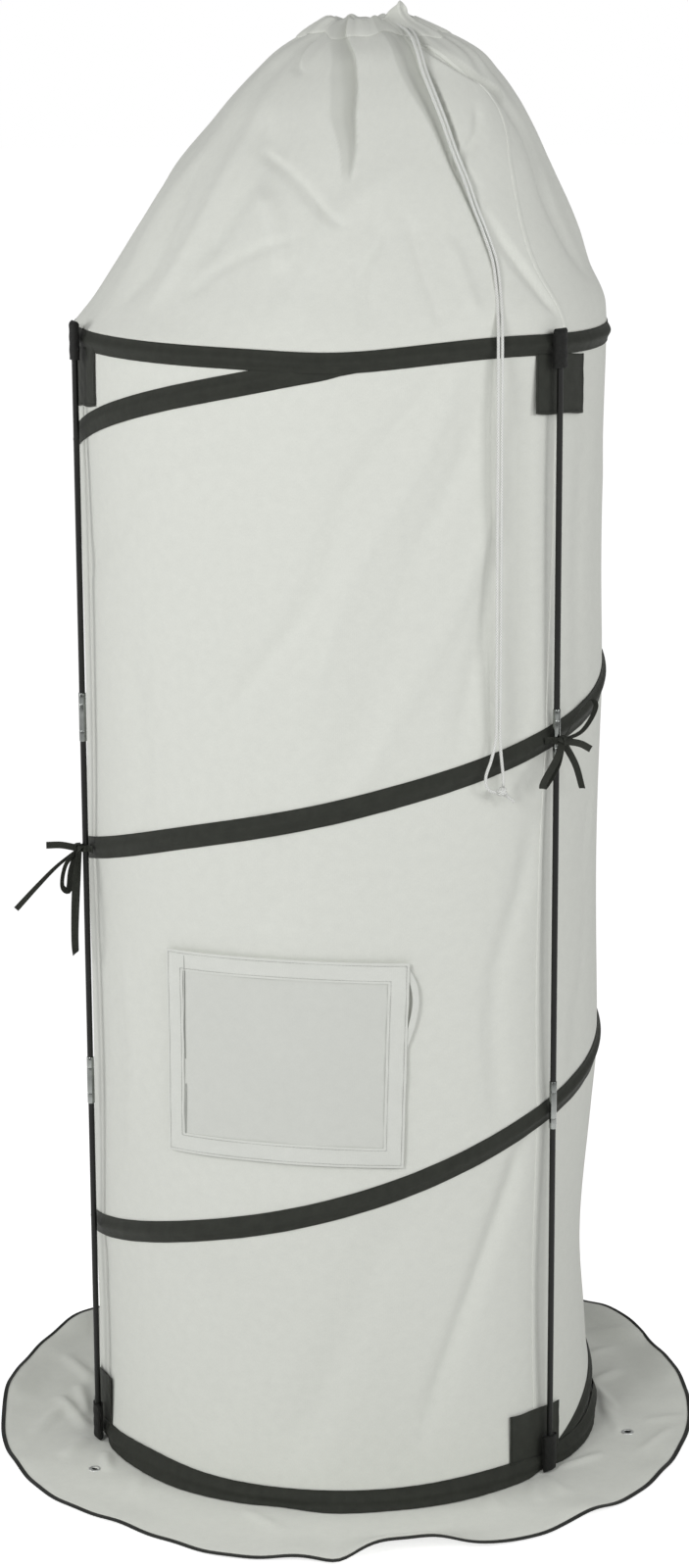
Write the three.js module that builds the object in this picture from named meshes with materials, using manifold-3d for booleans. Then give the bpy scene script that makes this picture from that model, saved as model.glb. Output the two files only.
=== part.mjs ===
// Pop-up cloth cylinder on a sprung wire spiral, with three outside poles, a ground skirt,
// a small hatch and a drawstring hood. Millimetres, +Z up, origin on the ground at the centre.
// Angles are in degrees round the cylinder: 0 is the front (-Y), 90 is +X, 180 is the rear.
import * as THREE from 'three';
import { mergeVertices } from 'three/addons/utils/BufferGeometryUtils.js';
import Module from 'manifold-3d';

const wasm = await Module();
wasm.setup();

// Shared sizes
const GAP = 0.3;
const OVERRUN = 20;
const WELD = 0.0001;

// Cylinder wall
const WALL_RADIUS = 350;
const WALL_HEIGHT = 1535;
const CLOTH = 2;
const FULL_TURN = 360;
const AROUND = 40;
const STEP = FULL_TURN / AROUND;

// Spring wire and the tape sleeves sewn over it
const WIRE_HALF = 2;
const TAPE = 1.2;
const BAND_WIDTH = 26;
const SPIRAL_BAND_WIDTH = 30;
const BAND_CREST = 4.4;
const WIRE_ROOM = 0.4;
const CREST_ROOM = 1.2;
const SPIRAL_START = 54;
const SPIRAL_END = 1080;
// How far the spiral has climbed, as shares of its turns and of its rise
const SPIRAL_SHARES = [
  [0, 0], [0.024, 0.031], [0.125, 0.113], [0.225, 0.195], [0.27, 0.241], [0.304, 0.279], [0.337, 0.32],
  [0.364, 0.346], [0.406, 0.381], [0.474, 0.447], [0.532, 0.505], [0.587, 0.559], [0.623, 0.598],
  [0.655, 0.629], [0.691, 0.66], [0.727, 0.692], [0.776, 0.743], [0.831, 0.805], [0.883, 0.866],
  [0.922, 0.913], [0.943, 0.941], [0.961, 0.961], [0.977, 0.977], [1, 1],
];

// Poles: three rods joined by two ferrules, hung in a cap and standing in a boot
const POLE_ANGLES = { left: -70.5, right: 49.5, rear: 169.5 };
const ROD_RADIUS = 4;
const ROD_BORE_RADIUS = 2.3;
const ROD_SIDES = 12;
const FERRULE_RADIUS = 4.9;
const FERRULE_LENGTH = 65;
const SECTIONS = 3;
const POLE_TOP_DROP = 7;
const FOOT_HEIGHT = 22;
const TIP_PLUG_LENGTH = 14;
const SHOCK_CORD_RADIUS = 1.4;
const SHOCK_CORD_SIDES = 6;
const POCKET_WALL = 1.5;
const POCKET_WIDTH = 24;
const PIVOT_HEIGHT = 12;
const BOOT_TOP = 46;
const CAP_DROP = 45;
const CAP_RISE = 12;
const POCKET_SIDES = 5;

// Reinforcement patches behind the caps and boots
const PATCH_HALF_ANGLE = 9.4;
const PATCH = 1.3;
const UPPER_PATCH_DROP = 97;
const LOWER_PATCH_HALF_ANGLE = 8.6;
const LOWER_PATCH_TOP = 95;

// Ground skirt with its bound edge and peg eyelets
const SKIRT_TUCK = 6;
const SKIRT_WIDTH = 147;
const SKIRT_WAVE = 2.5;
const SKIRT_LONG_WAVE = 8;
const SKIRT_RISE_WIDTH = 69;
const SKIRT_LIFT = 1.8;
const SKIRT_AROUND = 60;
const SKIRT_RISE_SHARES = [0, 0.4, 0.7, 1];
const RIPPLE_HEIGHT = 32;
// Each ripple of the skirt's edge: its angle, its half width in degrees and its share of the height
const SKIRT_RIPPLES = [
  { angle: 11, half_angle: 8.5, height_share: 1 },
  { angle: -8, half_angle: 5, height_share: 0.14 },
  { angle: 39, half_angle: 6, height_share: 0.25 },
  { angle: 126, half_angle: 10, height_share: 0.6 },
  { angle: -126, half_angle: 9, height_share: 0.45 },
  { angle: -97, half_angle: 9, height_share: 0.16 },
  { angle: 100, half_angle: 8, height_share: 0.16 },
  { angle: -150, half_angle: 9, height_share: 0.29 },
  { angle: 148, half_angle: 8, height_share: 0.25 },
  { angle: -40, half_angle: 6, height_share: 0.12 },
];
const BINDING_WIDTH = 6;
const BINDING = 0.9;
const EYELET_ANGLES = { left: -57, right: 74.5, rear: 188 };
const EYELET_INSET = 91;
const EYELET_HOLE = 4.5;
const EYELET_BARREL = 5.5;
const EYELET_FLANGE = 9;
const EYELET_FLANGE_THICKNESS = 1;
const EYELET_LIFT = 0.1;
const EYELET_SIDES = 16;

// Hatch: the flap, its sewn border and the tape frame round the hole in the wall
const HATCH_LEFT = -40.7;
const HATCH_RIGHT = 13.8;
const HATCH_BOTTOM = 476.5;
const HATCH_TOP = 751;
const HATCH_BORDER = 27;
const HATCH_FRAME_WIDTH = 20;
const HATCH_FRAME = 0.9;
const HATCH_CLOTH = 1.4;
const HATCH_TAPE = 0.9;
const HINGE_ROOM = 5;

// Hood: rows from its seam to its gathered mouth, as shares of its height and of the wall's radius,
// with the sideways lean of each row in millimetres as a share of the lean at the top
const HOOD_HEIGHT = 381;
const HOOD_LEAN = 52;
const HOOD_ROW_SHARES = [
  [0, 1, 0], [0.07, 0.965, 0.17], [0.2, 0.885, 0.29], [0.33, 0.81, 0.38], [0.457, 0.733, 0.48],
  [0.56, 0.663, 0.6], [0.657, 0.591, 0.73], [0.75, 0.52, 0.83], [0.834, 0.44, 0.92], [0.925, 0.334, 1],
  [0.966, 0.251, 0.96], [1, 0.154, 0.79],
];
const PLEATS = 10;
const PLEAT_DEPTH = 6;
const PLEAT_START_SHARE = 0.5;
const FOLD_DEPTH = 12;
// Each main fold: its angle low down and at its top, its half width in degrees, its share of the depth,
// and where it starts and ends
const HOOD_FOLDS = [
  { low_angle: -3, top_angle: -39, half_angle: 11, depth_share: 1, from_share: 0.42, to_share: 1 },
  { low_angle: 23, top_angle: -2, half_angle: 10, depth_share: -0.58, from_share: 0.42, to_share: 0.97 },
  { low_angle: -8, top_angle: -32, half_angle: 12, depth_share: 0.58, from_share: 0.3, to_share: 0.62 },
  { low_angle: 72, top_angle: 30, half_angle: 12, depth_share: 0.75, from_share: 0.74, to_share: 1 },
  { low_angle: -75, top_angle: -60, half_angle: 14, depth_share: 0.67, from_share: 0.45, to_share: 1 },
  { low_angle: 60, top_angle: 58, half_angle: 9, depth_share: 0.42, from_share: 0.35, to_share: 0.85 },
];
const FOLD_RAMP_SHARE = 0.7;

// Gathered hem round the hood's mouth, the cord in it and the hanging drawcord
const HEM_INNER = 15;
const HEM_HEIGHT = 6;
const HEM_WALL = 1.6;
const HEM_RUFFLE = 2;
const HEM_PEAK = 15;
const HEM_PEAK_ANGLE = 80;
const HEM_PEAK_HALF = 22;
const HEM_CORD_RING = 32;
const HEM_CORD_SIDES = 6;
const HEM_CORD_FROM = 60;
const HEM_CORD_TO = 402;
const CORD_RADIUS = 2;
const CORD_SIDES = 8;
const CORD_STEPS = 44;
const LEFT_STRAND = [
  [64.3, -38.7, 1920.5], [70, -48, 1917], [80, -64, 1911.5], [89, -90, 1904],
  [96, -121, 1888], [105, -150, 1857], [116, -169, 1829],
  [127, -183, 1801], [140, -201, 1764], [155, -216, 1727], [165, -227, 1698], [177, -236, 1668],
  [189, -249, 1632], [193.5, -270, 1592], [194.5, -290, 1560], [194.5, -302.5, 1535], [194.5, -304.5, 1510],
  [194.5, -304.5, 1400], [194.5, -304.5, 1250], [194.5, -304.5, 1100], [194, -304.5, 1035],
  [188, -309, 1008], [181, -314.5, 987], [184, -314, 972], [195.1, -308.7, 966.1],
];
const RIGHT_STRAND = [
  [71.4, -37.5, 1920.5], [77, -45, 1917], [87, -60, 1911.5], [95, -87, 1904],
  [101, -119, 1888], [110, -148, 1857], [121, -167, 1829],
  [132, -181, 1801], [145, -199, 1764], [160, -213, 1727], [170, -224, 1698], [182, -233, 1668],
  [194, -246, 1632], [198.5, -267, 1592], [199.5, -287, 1560], [199.5, -299.5, 1535], [199.5, -301.5, 1510],
  [199.5, -301.5, 1400], [199.5, -301.5, 1250], [199.5, -301.5, 1100], [199.5, -301.5, 1035],
  [201.5, -301.5, 1008], [203.5, -301, 988], [203.8, -302.8, 972.9],
];
const KNOT_CENTRE = [202, -306, 966.5];
const KNOT_RADIUS = 6.5;
const KNOT_TAIL = [[202, -306, 966.5], [211, -299, 958], [218, -295, 951]];
const KNOT_TAIL_STEPS = 4;

// Tape ties that hold the poles to the spiral
const TIE_WIDTH = 8;
const TIE_TAPE = 1.4;
const TIE_REACH = 100;
const TIE_KNOT = [14, 9, 13];
const TIE_BASE = 17;
// Each tail or loop as shares of the tie's reach: sideways, outwards from the pole, and up
const SIDE_TIE_SHARES = [
  [[0, 0, 0], [-0.06, 0.22, 0.05], [-0.08, 0.42, 0.06]],
  [[0, 0, 0], [-0.04, 0.35, -0.16], [-0.06, 0.62, -0.42], [-0.06, 0.88, -0.77]],
  [[0, 0, 0], [0.05, 0.2, -0.2], [0.06, 0.25, -0.5], [0.02, 0.16, -0.56], [-0.02, 0.1, -0.3], [0, 0, 0]],
  [[0, 0, 0], [0.1, 0.1, -0.5], [0.1, 0.12, -1.3], [0.02, 0.08, -1.44], [-0.05, 0.06, -1.2], [0, 0, 0]],
];
const FRONT_TIE_SHARES = [
  [[0, 0, 0], [0.16, 0.16, -0.04], [0.31, 0.22, -0.13]],
  [[0, 0, 0], [0.14, 0.14, -0.25], [0.25, 0.16, -0.65]],
  [[0, 0, 0], [-0.2, 0.12, -0.14], [-0.44, 0.14, -0.46], [-0.4, 0.1, -0.54], [-0.16, 0.08, -0.3], [0, 0, 0]],
  [[0, 0, 0], [0.22, 0.16, 0.12], [0.42, 0.22, 0.44], [0.36, 0.18, 0.52], [0.14, 0.1, 0.3], [0, 0, 0]],
];
const TIE_SHARES = { left: SIDE_TIE_SHARES, right: FRONT_TIE_SHARES, rear: FRONT_TIE_SHARES };

// Heights and radii that follow from the sizes above
const bandBulge = 2 * GAP + 2 * WIRE_HALF + CREST_ROOM + TAPE;
const bandApex = bandBulge - TAPE;
const wirePlace = 2 * GAP + WIRE_HALF;
const topRingHeight = WALL_HEIGHT - BAND_WIDTH / 2;
const bottomRingHeight = CLOTH + GAP + BAND_WIDTH / 2;
const wallBottom = CLOTH + GAP;
const hoodSeam = WALL_HEIGHT + GAP;
const poleTop = WALL_HEIGHT - POLE_TOP_DROP;
const sectionLength = (poleTop - FOOT_HEIGHT) / SECTIONS;
const skirtInner = WALL_RADIUS - SKIRT_TUCK;
const skirtRadius = WALL_RADIUS + SKIRT_WIDTH;
const skirtFlat = skirtRadius - SKIRT_RISE_WIDTH;
const eyeletPlace = skirtRadius - EYELET_INSET;
const upperPatchTop = WALL_HEIGHT - BAND_WIDTH - GAP;
const upperPatchBottom = WALL_HEIGHT - UPPER_PATCH_DROP;
const lowerPatchBottom = bottomRingHeight + BAND_WIDTH / 2 + GAP;
const hoodMouth = hoodSeam + HOOD_HEIGHT;

const radians = THREE.MathUtils.degToRad;

// Materials
const cloth = () => new THREE.MeshStandardMaterial({ color: 0xe2e4de, roughness: 0.95 });
const blackTape = () => new THREE.MeshStandardMaterial({ color: 0x2b2d2a, roughness: 0.9 });
const springSteel = () => new THREE.MeshStandardMaterial({ color: 0x8d9196, roughness: 0.4, metalness: 1 });
const rodFinish = () => new THREE.MeshStandardMaterial({ color: 0x17181a, roughness: 0.35 });
const ferruleSteel = () => new THREE.MeshStandardMaterial({ color: 0xa4a8ab, roughness: 0.3, metalness: 1 });
const whiteCord = () => new THREE.MeshStandardMaterial({ color: 0xeeeeea, roughness: 0.85 });
const elastic = () => new THREE.MeshStandardMaterial({ color: 0x1c1c1e, roughness: 0.9 });
const plugPlastic = () => new THREE.MeshStandardMaterial({ color: 0x202124, roughness: 0.5 });

const root = new THREE.Group();

// Adds one named piece to the object
function addPiece(name, geometry, material) {
  const piece = new THREE.Mesh(geometry, material);
  piece.name = name;
  root.add(piece);
  return piece;
}

// Geometry helpers

function indexedGeometry(points, faces) {
  const geometry = new THREE.BufferGeometry();
  geometry.setAttribute('position', new THREE.Float32BufferAttribute(points.flat(), 3));
  geometry.setIndex(faces.flat());
  return facingOut(geometry);
}

// Turns every face over when the closed shape encloses a negative volume
function facingOut(geometry) {
  const corner = geometry.attributes.position;
  const order = geometry.index.array;
  const a = new THREE.Vector3();
  const b = new THREE.Vector3();
  const c = new THREE.Vector3();
  let volume = 0;
  for (let i = 0; i < order.length; i += 3) {
    a.fromBufferAttribute(corner, order[i]);
    b.fromBufferAttribute(corner, order[i + 1]);
    c.fromBufferAttribute(corner, order[i + 2]);
    volume += a.dot(b.cross(c));
  }
  if (volume < 0) {
    const turned = Array.from(order);
    for (let i = 0; i < turned.length; i += 3) {
      [turned[i + 1], turned[i + 2]] = [turned[i + 2], turned[i + 1]];
    }
    geometry.setIndex(turned);
  }
  return geometry;
}

function toSolid(geometry) {
  const bare = geometry.clone();
  bare.deleteAttribute('normal');
  bare.deleteAttribute('uv');
  const merged = mergeVertices(bare, WELD);
  return new wasm.Manifold(new wasm.Mesh({
    numProp: 3,
    vertProperties: new Float32Array(merged.attributes.position.array),
    triVerts: new Uint32Array(merged.index.array),
  }));
}

function toGeometry(solid) {
  const mesh = solid.getMesh();
  const geometry = new THREE.BufferGeometry();
  geometry.setAttribute('position', new THREE.BufferAttribute(new Float32Array(mesh.vertProperties), 3));
  geometry.setIndex(new THREE.BufferAttribute(new Uint32Array(mesh.triVerts), 1));
  return geometry;
}

// How far this angle lies from the middle of its facet
function facetOffset(angle) {
  return THREE.MathUtils.euclideanModulo(angle, STEP) - STEP / 2;
}

// How far the flat facets of the cylinder lie inside their corners at this angle, as a factor
function facetFactor(angle) {
  return Math.cos(radians(STEP / 2)) / Math.cos(radians(facetOffset(angle)));
}

// A smooth hump of height 1 round the given angle, fading out over about its half width
function bump(angle, centre, half) {
  const away = THREE.MathUtils.euclideanModulo(angle - centre + FULL_TURN / 2, FULL_TURN) - FULL_TURN / 2;
  return Math.exp(-((away / half) ** 2));
}

function place(angle, radius, z, lean = 0) {
  return [lean + radius * Math.sin(radians(angle)), -radius * Math.cos(radians(angle)), z];
}

// The two ends of a stretch, with every facet corner between them
function cornerAngles(from, to) {
  const angles = [from];
  for (let k = Math.floor(from / STEP) + 1; k * STEP < to; k += 1) {
    angles.push(k * STEP);
  }
  angles.push(to);
  return angles;
}

function ringAngles(count = AROUND) {
  return Array.from({ length: count }, (_, k) => (FULL_TURN * k) / count);
}

// A closed solid from one section at each angle, each section a list of [radius, height, lean]
function sweepAround(angles, sectionAt, closesOnItself, faceted = true) {
  const sections = angles.map((angle) => sectionAt(angle).map(([radius, z, lean]) => (
    place(angle, radius * (faceted ? facetFactor(angle) : 1), z, lean)
  )));
  return joinSections(sections, closesOnItself, sectionAt(angles[0]));
}

function joinSections(sections, closesOnItself, flatOutline) {
  const size = sections[0].length;
  const points = sections.flat();
  const faces = [];
  const stretches = closesOnItself ? sections.length : sections.length - 1;
  for (let i = 0; i < stretches; i += 1) {
    const next = (i + 1) % sections.length;
    for (let j = 0; j < size; j += 1) {
      const k = (j + 1) % size;
      faces.push([i * size + j, next * size + j, next * size + k]);
      faces.push([i * size + j, next * size + k, i * size + k]);
    }
  }
  if (!closesOnItself) {
    const outline = flatOutline.map(([u, v]) => new THREE.Vector2(u, v));
    const last = (sections.length - 1) * size;
    const clockwise = THREE.ShapeUtils.isClockWise(outline);
    THREE.ShapeUtils.triangulateShape(outline, []).forEach(([a, b, c]) => {
      const [first, second] = clockwise ? [c, b] : [b, c];
      faces.push([a, first, second]);
      faces.push([last + a, last + second, last + first]);
    });
  }
  return indexedGeometry(points, faces);
}

// A piece of a cylinder wall between two angles, two radii and two heights
function sector(fromAngle, toAngle, inner, outer, bottom, top) {
  const section = [[inner, bottom], [outer, bottom], [outer, top], [inner, top]];
  return sweepAround(cornerAngles(fromAngle, toAngle), () => section, false);
}

function frameSector(outerBounds, innerBounds, inner, outer) {
  const whole = toSolid(sector(
    outerBounds.left, outerBounds.right, inner, outer, outerBounds.bottom, outerBounds.top,
  ));
  const hole = toSolid(sector(
    innerBounds.left, innerBounds.right, inner - OVERRUN, outer + OVERRUN,
    innerBounds.bottom, innerBounds.top,
  ));
  return toGeometry(whole.subtract(hole));
}

// A tube along a smooth route, square at both ends
function tubeAlong(route, radius, sides, steps) {
  const curve = new THREE.CatmullRomCurve3(route.map((point) => new THREE.Vector3(...point)));
  const outline = new THREE.Shape(Array.from({ length: sides }, (_, k) => new THREE.Vector2(
    radius * Math.cos((2 * Math.PI * k) / sides), radius * Math.sin((2 * Math.PI * k) / sides),
  )));
  const tube = new THREE.ExtrudeGeometry(outline, { steps, extrudePath: curve });
  tube.deleteAttribute('normal');
  tube.deleteAttribute('uv');
  return facingOut(mergeVertices(tube, WELD));
}

// A hollow or solid round bar standing on the pole's axis
function roundBar(radius, bore, bottom, top, sides) {
  const profile = bore > 0
    ? [[bore, bottom], [radius, bottom], [radius, top], [bore, top], [bore, bottom]]
    : [[0, bottom], [radius, bottom], [radius, top], [0, top]];
  const bar = new THREE.LatheGeometry(profile.map(([x, y]) => new THREE.Vector2(x, y)), sides);
  bar.rotateX(Math.PI / 2);
  bar.deleteAttribute('normal');
  bar.deleteAttribute('uv');
  return facingOut(mergeVertices(bar, WELD));
}

// How far out a pole stands, so that its flat pocket just clears the crest of a ring sleeve
function poleRadius(angle) {
  const crest = (WALL_RADIUS + bandBulge) * Math.cos(radians(STEP / 2));
  const offset = radians(facetOffset(angle));
  const crestReach = (crest + (POCKET_WIDTH / 2) * Math.abs(Math.sin(offset))) / Math.cos(offset);
  return crestReach + 2 * GAP + POCKET_WALL + ROD_RADIUS;
}

// Turns a piece from the pole's own frame, x sideways, y inwards and z up, to its place at the wall
function standAt(geometry, angle, radius = poleRadius(angle)) {
  geometry.rotateZ(radians(angle));
  const [x, y] = place(angle, radius, 0);
  geometry.translate(x, y, 0);
  return geometry;
}

// Height of the spiral's centre line, smooth through its shares
const spiralCurve = new THREE.CatmullRomCurve3(
  SPIRAL_SHARES.map(([turns, rise]) => new THREE.Vector3(turns, rise, 0)), false, 'centripetal',
);
const SPIRAL_SAMPLES = 400;
const spiralPoints = spiralCurve.getPoints(SPIRAL_SAMPLES);

function spiralHeight(angle) {
  const turned = (angle - SPIRAL_START) / (SPIRAL_END - SPIRAL_START);
  const next = Math.max(1, spiralPoints.findIndex((point) => point.x >= turned));
  const low = spiralPoints[next - 1];
  const high = spiralPoints[next];
  const rise = THREE.MathUtils.mapLinear(turned, low.x, high.x, low.y, high.y);
  return THREE.MathUtils.lerp(bottomRingHeight, topRingHeight, rise);
}

// The spiral's turns that pass the given angle, as heights from the lowest up
function spiralCrossings(angle) {
  const heights = [];
  for (let turned = angle; turned <= SPIRAL_END; turned += FULL_TURN) {
    if (turned >= SPIRAL_START) {
      heights.push(spiralHeight(turned));
    }
  }
  return heights;
}

// Section of a tape sleeve: two flat margins on the wall and a crest over the wire, open to the wall
function bandSection(height, width = BAND_WIDTH) {
  const half = width / 2;
  const groove = ((WIRE_HALF + WIRE_ROOM) * (bandApex - GAP)) / (bandApex - wirePlace);
  return [
    [WALL_RADIUS + GAP, height - half],
    [WALL_RADIUS + bandBulge, height - BAND_CREST / 2],
    [WALL_RADIUS + bandBulge, height + BAND_CREST / 2],
    [WALL_RADIUS + GAP, height + half],
    [WALL_RADIUS + GAP, height + groove],
    [WALL_RADIUS + bandApex, height],
    [WALL_RADIUS + GAP, height - groove],
  ];
}

function wireSection(height) {
  const centre = WALL_RADIUS + wirePlace;
  return [
    [centre - WIRE_HALF, height],
    [centre, height - WIRE_HALF],
    [centre + WIRE_HALF, height],
    [centre, height + WIRE_HALF],
  ];
}

// Keeps only what lies between the two ring sleeves, so that the spiral runs into both
function betweenRings(geometry) {
  const low = bottomRingHeight + BAND_WIDTH / 2 + GAP;
  const high = topRingHeight - BAND_WIDTH / 2 - GAP;
  const reach = WALL_RADIUS + OVERRUN;
  const slab = new THREE.BoxGeometry(2 * reach, 2 * reach, high - low);
  slab.translate(0, 0, (low + high) / 2);
  return toGeometry(toSolid(geometry).intersect(toSolid(slab)));
}

function spiralAngles() {
  const count = Math.round((SPIRAL_END - SPIRAL_START) / STEP);
  return Array.from({ length: count + 1 }, (_, k) => SPIRAL_START + k * STEP);
}

function makeSpring() {
  const sleeve = sweepAround(spiralAngles(), (angle) => (
    bandSection(spiralHeight(angle), SPIRAL_BAND_WIDTH)
  ), false);
  addPiece('spiral_sleeve', betweenRings(sleeve), blackTape());
  const wire = sweepAround(spiralAngles(), (angle) => wireSection(spiralHeight(angle)), false);
  addPiece('spiral_wire', betweenRings(wire), springSteel());
  [['bottom', bottomRingHeight], ['top', topRingHeight]].forEach(([name, height]) => {
    addPiece(`${name}_ring_sleeve`, sweepAround(ringAngles(), () => bandSection(height), true), blackTape());
    addPiece(`${name}_ring_wire`, sweepAround(ringAngles(), () => wireSection(height), true), springSteel());
  });
}

// Wall with the hole behind the hatch
function makeWall() {
  const inner = WALL_RADIUS - CLOTH;
  const section = [
    [inner, wallBottom], [WALL_RADIUS, wallBottom], [WALL_RADIUS, WALL_HEIGHT], [inner, WALL_HEIGHT],
  ];
  const wall = toSolid(sweepAround(ringAngles(), () => section, true));
  const edge = degreesAlongWall(HATCH_BORDER + HINGE_ROOM);
  const hole = toSolid(sector(
    HATCH_LEFT + edge, HATCH_RIGHT - edge, inner - OVERRUN, WALL_RADIUS + OVERRUN,
    HATCH_BOTTOM + HATCH_BORDER + HINGE_ROOM, HATCH_TOP - HATCH_BORDER - HINGE_ROOM,
  ));
  addPiece('wall_panel', toGeometry(wall.subtract(hole)), cloth());
}

function degreesAlongWall(length) {
  return THREE.MathUtils.radToDeg(length / WALL_RADIUS);
}

// Patches, cut back where the spiral sleeve passes
function makePatches() {
  const inner = WALL_RADIUS + GAP;
  const room = SPIRAL_BAND_WIDTH / 2 + GAP;
  const sleeveRoom = toSolid(sweepAround(spiralAngles(), (angle) => {
    const height = spiralHeight(angle);
    return [
      [WALL_RADIUS - OVERRUN, height - room], [WALL_RADIUS + OVERRUN, height - room],
      [WALL_RADIUS + OVERRUN, height + room], [WALL_RADIUS - OVERRUN, height + room],
    ];
  }, false));
  const patch = (angle, half, bottom, top) => {
    const whole = toSolid(sector(angle - half, angle + half, inner, inner + PATCH, bottom, top));
    return toGeometry(whole.subtract(sleeveRoom));
  };
  Object.entries(POLE_ANGLES).forEach(([side, angle]) => {
    const upper = patch(angle, PATCH_HALF_ANGLE, upperPatchBottom, upperPatchTop);
    addPiece(`upper_patch_${side}`, upper, blackTape());
    const lower = patch(angle, LOWER_PATCH_HALF_ANGLE, lowerPatchBottom, LOWER_PATCH_TOP);
    addPiece(`lower_patch_${side}`, lower, blackTape());
  });
}

// Skirt: flat on the ground near the wall, its edge lifted a little and rippled
function skirtEdgeRadius(angle) {
  const longWave = SKIRT_LONG_WAVE * Math.cos(radians(2 * angle));
  return skirtRadius + longWave + SKIRT_WAVE * Math.cos(radians(6 * angle));
}

function skirtLift(angle, radius) {
  const edge = skirtEdgeRadius(angle);
  const ramp = THREE.MathUtils.smoothstep(radius, skirtFlat, edge - BINDING_WIDTH);
  const ripples = SKIRT_RIPPLES.reduce((sum, ripple) => (
    sum + RIPPLE_HEIGHT * ripple.height_share * bump(angle, ripple.angle, ripple.half_angle)
  ), 0);
  return ramp * (ripples + SKIRT_LIFT);
}

function makeSkirt() {
  const skirt = toSolid(sweepAround(ringAngles(SKIRT_AROUND), (angle) => {
    const edge = skirtEdgeRadius(angle);
    const rising = SKIRT_RISE_SHARES.map((share) => (
      THREE.MathUtils.lerp(skirtFlat, edge - BINDING_WIDTH, share)
    ));
    const rows = [skirtInner, ...rising, edge].map((radius) => [radius, skirtLift(angle, radius)]);
    const upper = rows.map(([radius, z]) => [radius, z + CLOTH]).reverse();
    return [...rows, ...upper];
  }, true, false));
  const holes = Object.values(EYELET_ANGLES).map((angle) => toSolid(standAt(
    roundBar(EYELET_BARREL + GAP, 0, -OVERRUN, OVERRUN, EYELET_SIDES), angle, eyeletPlace,
  )));
  addPiece('ground_skirt', toGeometry(holes.reduce((solid, hole) => solid.subtract(hole), skirt)), cloth());
  addPiece('skirt_binding', sweepAround(ringAngles(SKIRT_AROUND), (angle) => {
    const edge = skirtEdgeRadius(angle);
    const inner = edge - BINDING_WIDTH;
    const outer = edge + GAP + BINDING;
    const low = [skirtLift(angle, inner), skirtLift(angle, edge)];
    const under = low.map((z) => z - GAP);
    const over = low.map((z) => z + CLOTH + GAP);
    return [
      [inner, under[0] - BINDING], [outer, under[1] - BINDING], [outer, over[1] + BINDING],
      [inner, over[0] + BINDING], [inner, over[0]], [edge + GAP, over[1]], [edge + GAP, under[1]],
      [inner, under[0]],
    ];
  }, true, false), blackTape());
}

// Eyelets: a barrel through the skirt with a flange on top
function makeEyelets() {
  Object.entries(EYELET_ANGLES).forEach(([side, angle]) => {
    const seat = CLOTH + GAP;
    const profile = [
      [EYELET_HOLE, EYELET_LIFT], [EYELET_BARREL, EYELET_LIFT], [EYELET_BARREL, seat], [EYELET_FLANGE, seat],
      [EYELET_FLANGE, seat + EYELET_FLANGE_THICKNESS], [EYELET_HOLE, seat + EYELET_FLANGE_THICKNESS],
      [EYELET_HOLE, EYELET_LIFT],
    ];
    const eyelet = new THREE.LatheGeometry(profile.map(([x, y]) => new THREE.Vector2(x, y)), EYELET_SIDES);
    eyelet.rotateX(Math.PI / 2);
    eyelet.deleteAttribute('normal');
    eyelet.deleteAttribute('uv');
    const ring = facingOut(mergeVertices(eyelet, WELD));
    addPiece(`skirt_eyelet_${side}`, standAt(ring, angle, eyeletPlace), ferruleSteel());
  });
}

// Hatch: frame on the wall, then the flap with its border, layer on layer
function makeHatch() {
  const frameInner = WALL_RADIUS + GAP;
  const panelInner = frameInner + HATCH_FRAME + GAP;
  const borderInner = panelInner + HATCH_CLOTH + GAP;
  const flap = { left: HATCH_LEFT, right: HATCH_RIGHT, bottom: HATCH_BOTTOM, top: HATCH_TOP };
  const inset = (bounds, left, rest) => ({
    left: bounds.left + degreesAlongWall(left),
    right: bounds.right - degreesAlongWall(rest),
    bottom: bounds.bottom + rest,
    top: bounds.top - rest,
  });
  const frameOuter = inset(flap, HINGE_ROOM, HINGE_ROOM);
  addPiece('hatch_loop_frame', frameSector(
    frameOuter, inset(frameOuter, HATCH_FRAME_WIDTH, HATCH_FRAME_WIDTH), frameInner, frameInner + HATCH_FRAME,
  ), cloth());
  addPiece('hatch_panel', sector(
    flap.left, flap.right, panelInner, panelInner + HATCH_CLOTH, flap.bottom, flap.top,
  ), cloth());
  addPiece('hatch_border', frameSector(
    inset(flap, HINGE_ROOM, 0), inset(flap, HATCH_BORDER, HATCH_BORDER), borderInner, borderInner + HATCH_TAPE,
  ), cloth());
}

// Hood: how deep the pleats and main folds draw the cloth in
function hoodFoldDepth(angle, share) {
  const gather = Math.max(0, (share - PLEAT_START_SHARE) / (1 - PLEAT_START_SHARE)) ** 1.5;
  const pleats = PLEAT_DEPTH * gather * Math.cos(radians(PLEATS * angle));
  return HOOD_FOLDS.reduce((sum, fold) => {
    const along = (share - fold.from_share) / (fold.to_share - fold.from_share);
    if (along <= 0 || along > 1) {
      return sum;
    }
    const centre = THREE.MathUtils.lerp(fold.low_angle, fold.top_angle, along);
    const strength = Math.sin(((Math.PI / 2) * Math.min(along, FOLD_RAMP_SHARE)) / FOLD_RAMP_SHARE);
    return sum + FOLD_DEPTH * fold.depth_share * bump(angle, centre, fold.half_angle) * strength;
  }, pleats);
}

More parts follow.
